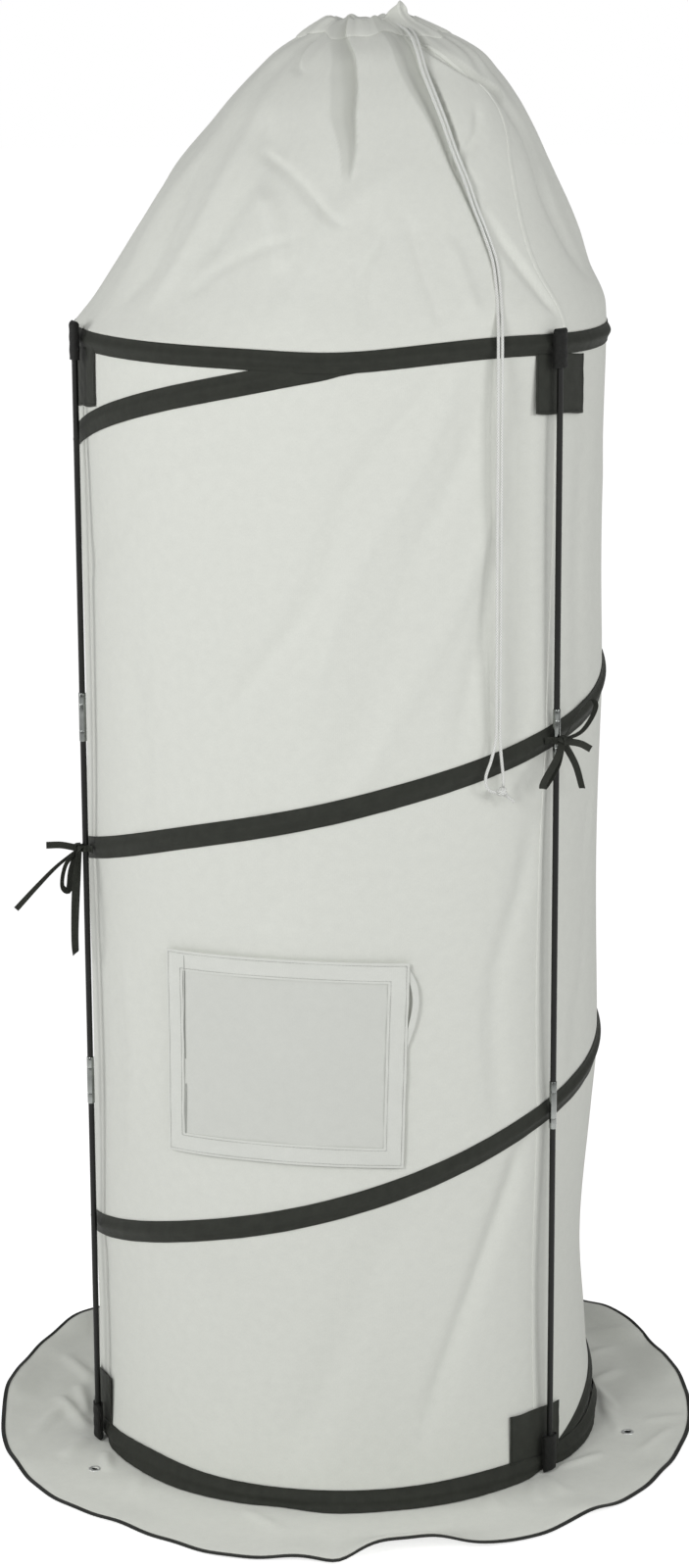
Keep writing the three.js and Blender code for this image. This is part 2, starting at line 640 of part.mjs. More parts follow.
// Each row's outer corner with the direction in which the cloth's thickness goes
function hoodRows() {
  const rows = HOOD_ROW_SHARES.map(([height, radius, lean]) => ({
    share: height, radius: radius * WALL_RADIUS, z: hoodSeam + height * HOOD_HEIGHT, lean: lean * HOOD_LEAN,
  }));
  return rows.map((row, k) => {
    const below = rows[Math.max(0, k - 1)];
    const above = rows[Math.min(rows.length - 1, k + 1)];
    const along = new THREE.Vector2(above.radius - below.radius, above.z - below.z).normalize();
    const atSeam = k === 0;
    return { ...row, inwards: atSeam ? 1 : along.y, down: atSeam ? 0 : -along.x };
  });
}

function makeHood() {
  const rows = hoodRows();
  addPiece('hood', sweepAround(ringAngles(), (angle) => {
    const outer = rows.map((row) => [row.radius - hoodFoldDepth(angle, row.share), row.z, row.lean]);
    const inner = rows.map((row, k) => [
      outer[k][0] - CLOTH * row.inwards, row.z - CLOTH * row.down, row.lean,
    ]).reverse();
    return [...outer, ...inner];
  }, true), cloth());
}

// Hem: a ruffled channel over the hood's mouth, open downwards, with its peak on the right
function makeHem() {
  const mouth = WALL_RADIUS * HOOD_ROW_SHARES.at(-1)[1];
  const lean = HOOD_LEAN * HOOD_ROW_SHARES.at(-1)[2];
  const seat = hoodMouth + GAP;
  const roof = seat + HEM_HEIGHT;
  addPiece('hood_hem', sweepAround(ringAngles(), (angle) => {
    const peak = HEM_PEAK * bump(angle, HEM_PEAK_ANGLE, HEM_PEAK_HALF);
    const ruffle = HEM_RUFFLE * Math.cos(radians(PLEATS * angle));
    const outer = mouth - hoodFoldDepth(angle, 1);
    const crown = roof + HEM_WALL + HEM_RUFFLE - ruffle;
    return [
      [outer, seat], [outer - HEM_RUFFLE / 2, crown - HEM_RUFFLE / 2],
      [(outer + HEM_CORD_RING) / 2, crown + peak],
      [HEM_CORD_RING, crown + peak / 2], [HEM_INNER, roof], [HEM_INNER, seat], [HEM_INNER + HEM_WALL, seat],
      [HEM_INNER + HEM_WALL, roof - HEM_WALL], [outer - 2 * HEM_WALL, roof - HEM_WALL / 2],
      [outer - HEM_WALL, seat],
    ].map(([radius, z]) => [radius, z, lean]);
  }, true), cloth());

  const route = [];
  const cordHeight = roof - HEM_WALL - GAP - CORD_RADIUS;
  const turns = (HEM_CORD_TO - HEM_CORD_FROM) / STEP;
  for (let k = 0; k <= turns; k += 1) {
    route.push(place(HEM_CORD_FROM + k * STEP, HEM_CORD_RING, cordHeight, lean));
  }
  addPiece('hem_cord', tubeAlong(route, CORD_RADIUS, HEM_CORD_SIDES, route.length), whiteCord());
}

function makeDrawcord() {
  addPiece('drawcord_strand_left', tubeAlong(LEFT_STRAND, CORD_RADIUS, CORD_SIDES, CORD_STEPS), whiteCord());
  addPiece('drawcord_strand_right', tubeAlong(RIGHT_STRAND, CORD_RADIUS, CORD_SIDES, CORD_STEPS), whiteCord());
  const ball = new THREE.IcosahedronGeometry(KNOT_RADIUS, 1);
  ball.translate(...KNOT_CENTRE);
  const merged = new THREE.BufferGeometry();
  merged.setAttribute('position', ball.attributes.position);
  const knot = toSolid(mergeVertices(merged, WELD)).add(toSolid(
    tubeAlong(KNOT_TAIL, CORD_RADIUS, CORD_SIDES, KNOT_TAIL_STEPS),
  ));
  addPiece('drawcord_knot', toGeometry(knot), whiteCord());
}

// A pocket of folded tape round the pole: flat sides and a rounded closed end
function pocket(openEnd, closedEnd, boreEnd) {
  const depth = ROD_RADIUS + GAP + POCKET_WALL;
  const upwards = closedEnd > openEnd;
  const centre = upwards ? closedEnd - depth : closedEnd + depth;
  const outline = [new THREE.Vector2(-depth, openEnd), new THREE.Vector2(depth, openEnd)];
  for (let k = 0; k <= POCKET_SIDES; k += 1) {
    const turned = (Math.PI * k) / POCKET_SIDES;
    const rise = depth * Math.sin(turned);
    outline.push(new THREE.Vector2(depth * Math.cos(turned), centre + (upwards ? rise : -rise)));
  }
  const shape = new THREE.Shape(outline);
  const body = new THREE.ExtrudeGeometry(shape, { depth: POCKET_WIDTH, bevelEnabled: false });
  body.translate(0, 0, -POCKET_WIDTH / 2);
  body.rotateX(Math.PI / 2);
  body.rotateZ(Math.PI / 2);
  body.deleteAttribute('normal');
  body.deleteAttribute('uv');
  const beyond = upwards ? openEnd - OVERRUN : openEnd + OVERRUN;
  const bore = roundBar(ROD_RADIUS + GAP, 0, Math.min(beyond, boreEnd), Math.max(beyond, boreEnd), ROD_SIDES);
  return toGeometry(toSolid(facingOut(mergeVertices(body, WELD))).subtract(toSolid(bore)));
}

function makePole(side, angle) {
  const joints = [1, 2].map((count) => FOOT_HEIGHT + count * sectionLength);
  const ends = [FOOT_HEIGHT, ...joints, poleTop];
  ['lower', 'middle', 'upper'].forEach((name, k) => {
    const bottom = ends[k] + (k === 0 ? TIP_PLUG_LENGTH : GAP / 2);
    const top = ends[k + 1] - (k === 2 ? TIP_PLUG_LENGTH : GAP / 2);
    const rod = roundBar(ROD_RADIUS, ROD_BORE_RADIUS, bottom, top, ROD_SIDES);
    addPiece(`pole_${side}_${name}_rod`, standAt(rod, angle), rodFinish());
  });
  ['lower', 'upper'].forEach((name, k) => {
    const half = FERRULE_LENGTH / 2;
    const ferrule = roundBar(FERRULE_RADIUS, ROD_RADIUS + GAP, joints[k] - half, joints[k] + half, ROD_SIDES);
    addPiece(`pole_${side}_${name}_ferrule`, standAt(ferrule, angle), ferruleSteel());
  });
  const tips = { foot: [FOOT_HEIGHT, 1], top: [poleTop, -1] };
  Object.entries(tips).forEach(([name, [end, way]]) => {
    const flange = [end, end + way * (TIP_PLUG_LENGTH - GAP)];
    const tip = roundBar(ROD_RADIUS, 0, Math.min(...flange), Math.max(...flange), ROD_SIDES);
    addPiece(`pole_${side}_${name}_tip`, standAt(tip, angle), plugPlastic());
  });
  const cord = roundBar(
    SHOCK_CORD_RADIUS, 0, FOOT_HEIGHT + TIP_PLUG_LENGTH, poleTop - TIP_PLUG_LENGTH, SHOCK_CORD_SIDES,
  );
  addPiece(`pole_${side}_shock_cord`, standAt(cord, angle), elastic());
  const depth = ROD_RADIUS + GAP + POCKET_WALL;
  const boot = pocket(BOOT_TOP, PIVOT_HEIGHT - depth, FOOT_HEIGHT - GAP);
  addPiece(`pole_${side}_boot`, standAt(boot, angle), blackTape());
  const cap = pocket(WALL_HEIGHT - CAP_DROP, WALL_HEIGHT + CAP_RISE, poleTop + GAP);
  addPiece(`pole_${side}_cap`, standAt(cap, angle), blackTape());
}

// A flat tape along a route, its width always in the given direction
function ribbon(route, widthWay) {
  const across = new THREE.Vector3(...widthWay).normalize().multiplyScalar(TIE_WIDTH / 2);
  const points = route.map((point) => new THREE.Vector3(...point));
  const sections = points.map((point, k) => {
    const ahead = points[Math.min(points.length - 1, k + 1)];
    const behind = points[Math.max(0, k - 1)];
    const normal = ahead.clone().sub(behind).cross(across).normalize().multiplyScalar(TIE_TAPE / 2);
    return [[1, 1], [-1, 1], [-1, -1], [1, -1]].map(([w, n]) => (
      point.clone().addScaledVector(across, w).addScaledVector(normal, n).toArray()
    ));
  });
  const outline = [[0, 0], [TIE_WIDTH, 0], [TIE_WIDTH, TIE_TAPE], [0, TIE_TAPE]];
  return toSolid(joinSections(sections, false, outline));
}

function makeTie(side, angle) {
  const hold = FERRULE_RADIUS + GAP + TIE_TAPE / 2;
  const base = POCKET_WALL + ROD_RADIUS + GAP - TIE_TAPE / 2;
  const height = spiralCrossings(THREE.MathUtils.euclideanModulo(angle, FULL_TURN))[1];
  // In the pole's own frame, x is sideways, -y is outwards
  const strap = [
    [-TIE_BASE, base, 0], [-(TIE_BASE + hold) / 2, base, 0], [-hold, base / 2, 0], [-hold, -hold / 2, 0],
    [-hold / 2, -hold, 0], [hold / 2, -hold, 0], [hold, -hold / 2, 0], [hold, base / 2, 0],
    [(TIE_BASE + hold) / 2, base, 0], [TIE_BASE, base, 0],
  ];
  const knot = new THREE.BoxGeometry(...TIE_KNOT);
  const knotCentre = -hold - TIE_KNOT[1] / 2 + TIE_TAPE / 2;
  knot.translate(0, knotCentre, 0);
  let tie = ribbon(strap, [0, 0, 1]).add(toSolid(knot));
  TIE_SHARES[side].forEach((shares) => {
    const route = shares.map(([sideways, outwards, up]) => [
      sideways * TIE_REACH, knotCentre - outwards * TIE_REACH, up * TIE_REACH,
    ]);
    const [sideways, outwards] = shares[1];
    tie = tie.add(ribbon(route, [outwards, sideways, 0]));
  });
  const geometry = toGeometry(tie);
  geometry.translate(0, 0, height);
  addPiece(`pole_tie_${side}`, standAt(geometry, angle), blackTape());
}

makeWall();
makeSpring();
makeSkirt();
makeEyelets();
makePatches();
makeHatch();
makeHood();
makeHem();
makeDrawcord();
Object.entries(POLE_ANGLES).forEach(([side, angle]) => {
  makePole(side, angle);
  makeTie(side, angle);
});

export default root;
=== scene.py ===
# A pop-up cloth cylinder on a sprung wire spiral, with three outside poles, a ground skirt,
# a small hatch and a gathered drawstring hood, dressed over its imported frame.
# Metres, +Z up. Angles are in degrees round the cylinder: 0 is the front (-Y), 90 is +X.
import math

import bpy
import numpy as np
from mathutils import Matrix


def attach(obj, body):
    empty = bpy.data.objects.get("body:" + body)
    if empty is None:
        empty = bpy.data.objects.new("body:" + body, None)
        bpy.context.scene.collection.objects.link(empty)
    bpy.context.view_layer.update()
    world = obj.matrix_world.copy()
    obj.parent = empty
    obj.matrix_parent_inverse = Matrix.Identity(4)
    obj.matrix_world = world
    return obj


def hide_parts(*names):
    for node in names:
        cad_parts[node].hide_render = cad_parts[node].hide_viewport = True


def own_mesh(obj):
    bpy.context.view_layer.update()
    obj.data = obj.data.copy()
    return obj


MM = 0.001
DEGREE = math.pi / 180
SIDES = ("left", "right", "rear")

# Cylinder and hood
WALL_RADIUS = 349.5 * MM
WALL_BOTTOM = 3.5 * MM
WALL_TOP = 1534.5 * MM
HOOD_HEIGHT = 381 * MM
HOOD_LEAN = 52 * MM
BAND = 26 * MM
SPIRAL_BAND = 30 * MM
TOP_RING = 1522 * MM
BOTTOM_RING = 15.3 * MM
POLE_ANGLES = {"left": -70.5, "right": 49.5, "rear": 169.5}
POLE_RADII = {"left": 363.117 * MM, "right": 361.999 * MM, "rear": 363.117 * MM}
POLE_TOP = 1528 * MM
FOOT_HEIGHT = 22 * MM
SECTION = 502 * MM

# Thicknesses
CLOTH_THICK = 0.7 * MM
FLAP_THICK = 0.6 * MM
TAPE_THICK = 0.5 * MM
PATCH_THICK = 0.8 * MM
WIRE_RADIUS = 1.5 * MM
CORD_RADIUS = 2 * MM
THREAD_RADIUS = 0.3 * MM
SEAM_WIDTH = 8 * MM

# Flat cuts, in metres: they set the scale of the weave
GIRTH = 2.2
WALL_CUT = (2.199, 1.531)
SPIRAL_RUN = 6.45
SKIRT_GIRTH = 3.1
SKIRT_CUT = 0.153
HOOD_SLANT = 0.49

# How much of its height each soft part keeps when the cover is collapsed, and the height it folds
# towards: the wall ends inside the top ring's tape, the spiral lies below it, and the caps' patches
# crumple up under it. This script collapses nothing: a share only gives its piece a mesh of its own.
WALL_KEEP = 0.0755
SPIRAL_KEEP = 0.068
PATCH_KEEP = 0.05
HOOD_KEEP = 0.2
GROUND = 0
RING_FOOT = 1.509

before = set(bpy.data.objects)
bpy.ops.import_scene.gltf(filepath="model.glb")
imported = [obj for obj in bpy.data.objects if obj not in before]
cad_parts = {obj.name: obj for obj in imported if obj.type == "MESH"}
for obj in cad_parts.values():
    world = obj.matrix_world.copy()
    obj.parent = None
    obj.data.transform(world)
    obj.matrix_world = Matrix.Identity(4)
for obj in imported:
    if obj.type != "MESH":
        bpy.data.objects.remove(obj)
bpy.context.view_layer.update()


# Camera: the photograph's own angle
bpy.ops.object.select_all(action="DESELECT")
bpy.ops.object.camera_add(
    location=(0, -4.66, 2.03),
    rotation=(76.417 * DEGREE, 0.259 * DEGREE, -0.062 * DEGREE),
)
camera = bpy.context.object
camera.name = "photo_camera"
camera.data.sensor_fit = "VERTICAL"
camera.data.sensor_height = 24
camera.data.lens = 53.99
camera.data.shift_x = 0.0011
camera.data.clip_end = 100
bpy.context.scene.camera = camera


# Tools for shaping

def smooth_step(t):
    t = np.clip(t, 0, 1)
    return t * t * (3 - 2 * t)


def wrapped(angle):
    return (angle + 180) % 360 - 180


def bump(angle, centre, half):
    return np.exp(-((wrapped(angle - centre) / half) ** 2))


def smooth_table(rows):
    """A smooth curve through the rows' first and second numbers."""
    xs, ys = np.array(sorted(row[:2] for row in rows), dtype=float).T
    slopes = np.gradient(ys, xs)

    def value_at(x):
        x = np.clip(x, xs[0], xs[-1])
        k = np.clip(np.searchsorted(xs, x, side="right") - 1, 0, len(xs) - 2)
        step = xs[k + 1] - xs[k]
        t = (x - xs[k]) / step
        rise = 3 * t**2 - 2 * t**3
        return (
            (1 - rise) * ys[k]
            + rise * ys[k + 1]
            + (t**3 - 2 * t**2 + t) * step * slopes[k]
            + (t**3 - t**2) * step * slopes[k + 1]
        )

    return value_at


def crease(angle, along, route, depth, half, radius, per_metre=1.0):
    """How far one fold draws the cloth in. Its route is a list of (angle, along), half its half width
    in metres, and per_metre the length of one unit of along."""
    ends = sorted(step[1] for step in route)
    centre_of = smooth_table([(step[1], step[0]) for step in route])
    t = (along - ends[0]) / (ends[-1] - ends[0])
    window = smooth_step(np.minimum(t, 1 - t) / 0.22)
    centre = centre_of(along)
    nudge = 0.01
    slant = (centre_of(along + nudge) - centre) * DEGREE * radius / (nudge * per_metre)
    away = wrapped(angle - centre) * DEGREE * radius / np.sqrt(1 + slant**2)
    return depth * window * np.exp(-((away / half) ** 2))


def pleat(angle, along, rows, radius):
    """How far a sharp pleat draws the cloth in, and how strongly painted shade darkens its cloth. Each row
    is (along, the angle of its bottom, the widths in metres of its left and its right slope, depth)."""
    marks, centres, lefts, rights, sizes = np.array(sorted(rows), dtype=float).T
    centre = smooth_table(list(zip(marks, centres)))(along)
    away = wrapped(angle - centre) * DEGREE * radius
    left = np.interp(along, marks, lefts)
    right = np.interp(along, marks, rights)
    t = np.clip(np.where(away < 0, 1 + away / left, 1 - away / right), 0, 1)
    depth = np.interp(along, marks, sizes)
    # Painted shade: near 1 across the pleat's slopes, where the cloth's colour is darkened
    pleat_shade = smooth_step(t / 0.12) * smooth_step(depth / (0.3 * np.abs(sizes).max()))
    return depth * (0.55 * t + 0.45 * smooth_step(t)), pleat_shade


def new_grid(name, columns, rows):
    bpy.ops.object.select_all(action="DESELECT")
    bpy.ops.mesh.primitive_grid_add(x_subdivisions=columns, y_subdivisions=rows, size=1)
    piece = bpy.context.object
    piece.name = name
    piece.data.name = name
    return piece


def only(piece):
    bpy.ops.object.select_all(action="DESELECT")
    piece.select_set(True)
    bpy.context.view_layer.objects.active = piece


def edit_whole(piece, *steps):
    """Runs each step, a mesh operator and its settings, on the whole mesh."""
    only(piece)
    bpy.ops.object.mode_set(mode="EDIT")
    for operator, settings in steps:
        bpy.ops.mesh.select_all(action="SELECT")
        operator(**settings)
    bpy.ops.object.mode_set(mode="OBJECT")


def cut_faces(piece, marked):
    """Deletes the marked faces."""
    only(piece)
    bpy.ops.object.mode_set(mode="EDIT")
    bpy.ops.mesh.select_mode(type="FACE")
    bpy.ops.mesh.select_all(action="DESELECT")
    bpy.ops.object.mode_set(mode="OBJECT")
    piece.data.polygons.foreach_set("select", marked)
    bpy.ops.object.mode_set(mode="EDIT")
    bpy.ops.mesh.delete(type="FACE")
    bpy.ops.mesh.select_mode(type="VERT")
    bpy.ops.object.mode_set(mode="OBJECT")


def drape(name, columns, rows, shape, cut, closed=False, gaps=None, pleat_shade=None):
    """A cloth grid laid out by shape(u, v), open where gaps(u, v) says so. Its UV map is in metres of
    the flat cut, whose size is given, or its place in it as a function of u and v. An optional function
    gives how strongly painted shade darkens the cloth in its pleats, up to 1."""
    piece = new_grid(name, columns, rows)
    mesh = piece.data
    if gaps is not None:
        middles = np.empty(len(mesh.polygons) * 3)
        mesh.polygons.foreach_get("center", middles)
        middles = middles.reshape(-1, 3) + 0.5
        marked = gaps(middles[:, 0], middles[:, 1])
    flat = np.empty(len(mesh.vertices) * 3)
    mesh.vertices.foreach_get("co", flat)
    flat = flat.reshape(-1, 3) + 0.5
    laid = np.stack(np.broadcast_arrays(*shape(flat[:, 0], flat[:, 1])), axis=1)
    mesh.vertices.foreach_set("co", laid.astype(float).ravel())
    # Painted shade: the pleats' darkening is stored as a point attribute for the cloth's colour
    if pleat_shade is not None:
        layers = mesh.attributes.new("pleat_shade", "FLOAT", "POINT")
        layers.data.foreach_set("value", pleat_shade(flat[:, 0], flat[:, 1]).astype(float))
    marks = mesh.uv_layers.active.data
    places = np.empty(len(marks) * 2)
    marks.foreach_get("uv", places)
    places = places.reshape(-1, 2)
    places = np.stack(cut(places[:, 0], places[:, 1]), axis=1) if callable(cut) else places * cut
    marks.foreach_set("uv", places.ravel())
    mesh.update()
    if gaps is not None:
        cut_faces(piece, marked)
    only(piece)
    if closed:
        edit_whole(piece, (bpy.ops.mesh.remove_doubles, {"threshold": 0.01 * MM}))
    bpy.ops.object.shade_smooth()
    return piece


def thicken(piece, thickness, offset=-1.0, even=True):
    only(piece)
    bpy.ops.object.modifier_add(type="SOLIDIFY")
    wall = piece.modifiers[-1]
    wall.thickness = thickness
    wall.offset = offset
    wall.use_even_offset = even
    bpy.ops.object.modifier_apply(modifier=wall.name)
    return piece


def close_ends(piece):
    edit_whole(
        piece,
        (bpy.ops.mesh.fill_holes, {"sides": 0}),
        (bpy.ops.mesh.normals_make_consistent, {"inside": False}),
    )
    return piece


def join(name, parts):
    bpy.ops.object.select_all(action="DESELECT")
    for part in parts:
        part.select_set(True)
    bpy.context.view_layer.objects.active = parts[0]
    bpy.ops.object.join()
    parts[0].name = name
    parts[0].data.name = name
    return parts[0]


def round_at(angle, radius, z, lean=0):
    turned = np.asarray(angle) * DEGREE
    return lean + radius * np.sin(turned), -radius * np.cos(turned), z


def smooth_route(points, count):
    """Evenly spaced points on a smooth curve through the given ones."""
    points = np.array(points, dtype=float)
    steps = np.linalg.norm(np.diff(points, axis=0), axis=1)
    marks = np.concatenate([[0], np.cumsum(np.sqrt(steps))])
    fine = np.linspace(0, marks[-1], 40 * len(points))
    curve = np.stack([smooth_table(list(zip(marks, column)))(fine) for column in points.T], axis=1)
    run = np.concatenate([[0], np.cumsum(np.linalg.norm(np.diff(curve, axis=0), axis=1))])
    even = np.linspace(0, run[-1], count)
    return np.stack([np.interp(even, run, column) for column in curve.T], axis=1)


def directions_along(points, across=(0, 0, 1)):
    """Forward, side and upward directions along a route, turned as little as possible."""
    forward = np.gradient(points, axis=0)
    forward /= np.linalg.norm(forward, axis=1)[:, None]
    side = np.empty_like(forward)
    last = np.array(across, dtype=float)
    for k, way in enumerate(forward):
        last = last - way * np.dot(last, way)
        if np.linalg.norm(last) < 0.1:
            last = np.cross(way, (0.3, 0.8, 0.5))
        last = last / np.linalg.norm(last)
        side[k] = last
    return forward, side, np.cross(forward, side)


def tube(name, points, radius, sides, columns, gaps=None):
    """A closed round tube along a route, with its UV map running along it in metres."""
    route = smooth_route(points, columns + 1)
    _, side, up = directions_along(route)
    length = route_length(route)

    def shape(u, v):
        k = np.rint(u * columns).astype(int)
        turn = 2 * np.pi * v
        out = side[k] * np.cos(turn)[:, None] + up[k] * np.sin(turn)[:, None]
        return (route[k] + radius * out).T

    piece = drape(name, columns, sides, shape, (length, 2 * math.pi * radius), True, gaps)
    return close_ends(piece)


def route_length(points):
    return np.linalg.norm(np.diff(np.array(points, dtype=float), axis=0), axis=1).sum()


def stitch_row(points, pitch):
    """One row of stitches: a thread along the route, cut away where it passes under the cloth."""
    count = max(2, int(route_length(points) / pitch))
    columns = 4 * count - 1

    def under_cloth(u, v):
        return np.floor(u * columns) % 4 == 3

    return tube("stitches", points, THREAD_RADIUS, 4, columns, under_cloth)


def sewn_along(corners, places, place_of, pitch):
    """Rows of stitches from corner to corner, each laid out by place_of(x, z)."""
    rows = []
    for (x0, z0), (x1, z1) in zip(corners, corners[1:]):
        steps = np.linspace(0, 1, places)
        points = np.stack(place_of(x0 + (x1 - x0) * steps, z0 + (z1 - z0) * steps), axis=1)
        rows.append(stitch_row(points, pitch))
    return rows


def ribbon(name, points, width, columns, thickness, across=(0, 0, 1), curl=0.0, twist=0.0):
    """A flat tape along a route, a little cupped across its width."""
    route = smooth_route(points, columns + 1)
    _, side, up = directions_along(route, across)
    length = route_length(route)

    def shape(u, v):
        k = np.rint(u * columns).astype(int)
        turn = twist * u
        way = side[k] * np.cos(turn)[:, None] + up[k] * np.sin(turn)[:, None]
        rise = up[k] * np.cos(turn)[:, None] - side[k] * np.sin(turn)[:, None]
        spread = (v - 0.5) * width
        cup = curl * (2 * v - 1) ** 2
        return (route[k] + way * spread[:, None] + rise * cup[:, None]).T

    piece = drape(name, columns, 6, shape, (length, width))
    return thicken(piece, thickness, 0)


def turned(name, profile, centre, sides=32):
    """A solid turned round an upright axis from a closed profile of (radius, height)."""
    outline = np.array(profile + profile[:1], dtype=float)
    rows = len(profile)

    def shape(u, v):
        k = np.rint(v * rows).astype(int)
        turn = 2 * np.pi * u
        return (
            centre[0] + outline[k, 0] * np.cos(turn),
            centre[1] + outline[k, 0] * np.sin(turn),
            centre[2] + outline[k, 1],
        )

    girth = 2 * math.pi * float(outline[:, 0].max())
    run = float(np.linalg.norm(np.diff(outline, axis=0), axis=1).sum())
    piece = drape(name, sides, rows, shape, (girth, run), closed=True)
    edit_whole(piece, (bpy.ops.mesh.normals_make_consistent, {"inside": False}))
    bpy.ops.object.shade_smooth_by_angle(angle=35 * DEGREE)
    return piece


# Tools for finishes

def srgb(red, green, blue):
    """A colour as the eye reads it, 0 to 255, as the shader wants it."""
    def linear(level):
        level /= 255
        return level / 12.92 if level <= 0.04045 else ((level + 0.055) / 1.055) ** 2.4
    return (linear(red), linear(green), linear(blue), 1.0)


class Finish:
    """One material being built up from nodes."""

    def __init__(self, name, **sockets):
        self.material = bpy.data.materials.new(name)
        self.material.use_nodes = True
        self.tree = self.material.node_tree
        self.tree.nodes.clear()
        output = self.tree.nodes.new("ShaderNodeOutputMaterial")
        self.shader = self.tree.nodes.new("ShaderNodeBsdfPrincipled")
        self.tree.links.new(self.shader.outputs[0], output.inputs[0])
        for socket, value in sockets.items():
            self.shader.inputs[socket.replace("_", " ")].default_value = value

    def node(self, kind, inputs=None, **settings):
        made = self.tree.nodes.new(kind)
        for key, value in settings.items():
            setattr(made, key, value)
        for socket, value in (inputs or {}).items():
            if isinstance(value, bpy.types.NodeSocket):
                self.tree.links.new(value, made.inputs[socket])
            else:
                made.inputs[socket].default_value = value
        return made

    def flat_place(self):
        return self.node("ShaderNodeUVMap").outputs[0]

    def solid_place(self):
        return self.node("ShaderNodeTexCoord").outputs["Object"]

    def noise(self, place, scale, detail, roughness=0.55, stretch=None):
        if stretch:
            place = self.node("ShaderNodeMapping", {0: place, "Scale": stretch}).outputs[0]
        return self.node(
            "ShaderNodeTexNoise",
            {"Vector": place, "Scale": scale, "Detail": detail, "Roughness": roughness},
        ).outputs[0]

    def threads(self, place, pitch, direction):
        """Parallel threads a pitch apart, as a height from 0 to 1."""
        split = self.node("ShaderNodeSeparateXYZ", {0: place})
        turned_by = self.math("MULTIPLY", split.outputs[direction], 2 * math.pi / pitch)
        return self.math("MULTIPLY_ADD", self.math("SINE", turned_by), 0.5, 0.5)

    def math(self, operation, first, second=None, third=None):
        values = {k: value for k, value in enumerate((first, second, third)) if value is not None}
        return self.node("ShaderNodeMath", values, operation=operation).outputs[0]

    def ramp(self, level, low, high, start=0.0, end=1.0):
        """Maps low to high onto start to end."""
        return self.node("ShaderNodeMapRange", {0: level, 1: low, 2: high, 3: start, 4: end}).outputs[0]

    def shades(self, level, dark, light):
        made = self.node("ShaderNodeValToRGB", {0: level})
        made.color_ramp.elements[0].color = dark
        made.color_ramp.elements[1].color = light
        return made.outputs[0]

    def blend(self, level, first, second):
        made = self.node("ShaderNodeMix", {0: level}, data_type="RGBA")
        for socket, value in ((6, first), (7, second)):
            if isinstance(value, bpy.types.NodeSocket):
                self.tree.links.new(value, made.inputs[socket])
            else:
                made.inputs[socket].default_value = value
        return made.outputs[2]

    def relief(self, height, distance, strength, below=None):
        values = {"Height": height, "Distance": distance, "Strength": strength}
        if below is not None:
            values["Normal"] = below
        return self.node("ShaderNodeBump", values).outputs[0]

    def colour(self, socket):
        self.tree.links.new(socket, self.shader.inputs["Base Color"])

    def rough(self, socket):
        self.tree.links.new(socket, self.shader.inputs["Roughness"])

    def normal(self, socket):
        self.tree.links.new(socket, self.shader.inputs["Normal"])


def fleece(name, dark, light, creases=1.0):
    """Pale spun-bonded cloth: tangled fibres pressed flat in rows of small dots."""
    made = Finish(name, Roughness=0.86, Sheen_Weight=0.12, Sheen_Roughness=0.6, Specular_IOR_Level=0.25)
    place = made.flat_place()
    clouds = made.noise(place, 70, 4, 0.6)
    fibres = made.noise(place, 900, 3, 0.7, (1.0, 0.35, 1.0))
    mixed = made.math("MULTIPLY_ADD", fibres, 0.6, made.math("MULTIPLY", clouds, 0.4))
    single = made.shades(made.ramp(mixed, 0.3, 0.7), dark, light)
    # Painted shade: the colour is blended towards a darker grey by the pleats' point attribute
    folded = made.node("ShaderNodeAttribute", attribute_name="pleat_shade").outputs["Fac"]
    made.colour(made.blend(folded, single, srgb(202, 204, 197)))
    made.rough(made.ramp(clouds, 0.3, 0.7, 0.8, 0.92))
    along = made.threads(place, 2.4 * MM, 0)
    over = made.threads(place, 1.9 * MM, 1)
    dots = made.math("POWER", made.math("MULTIPLY", along, over), 3.0)
    crumple = made.noise(place, 9, 3, 0.5)
    below = made.relief(crumple, 2.5 * MM * creases, 0.35)
    below = made.relief(fibres, 0.12 * MM, 0.6, below)
    made.normal(made.relief(dots, -0.1 * MM, 0.7, below))
    return made.material


def black_weave(name, dark, light, pitch, roughness, sheen):
    """Woven black tape with a faint rib and lighter rubbed threads."""
    made = Finish(
        name, Roughness=roughness, Sheen_Weight=sheen, Sheen_Roughness=0.45, Specular_IOR_Level=0.22,
    )
    place = made.flat_place()
    warp = made.threads(place, pitch, 1)
    weft = made.threads(place, pitch * 1.3, 0)
    weave = made.math("MULTIPLY_ADD", warp, 0.6, made.math("MULTIPLY", weft, 0.4))
    wear = made.noise(place, 55, 4, 0.65)
    tone = made.math("MULTIPLY_ADD", weave, 0.4, made.math("MULTIPLY", wear, 0.6))
    made.colour(made.shades(made.ramp(tone, 0.25, 0.75), dark, light))
    pucker = made.noise(place, 60, 2, 0.5, (1.0, 0.3, 1.0))
    below = made.relief(pucker, 1.2 * MM, 0.6)
    made.normal(made.relief(weave, 0.15 * MM, 0.6, below))
    return made.material


def bonded_black(name, dark, light):
    """Heavy black webbing with coarse ribs, read from the piece's own place."""
    made = Finish(name, Roughness=0.7, Sheen_Weight=0.05, Sheen_Roughness=0.5, Specular_IOR_Level=0.22)
    place = made.solid_place()
    ribs = made.threads(place, 1.6 * MM, 2)
    grain = made.noise(place, 420, 3, 0.6)
    made.colour(made.shades(made.ramp(grain, 0.3, 0.7), dark, light))
    below = made.relief(ribs, 0.25 * MM, 0.7)
    made.normal(made.relief(grain, 0.3 * MM, 0.4, below))
    return made.material


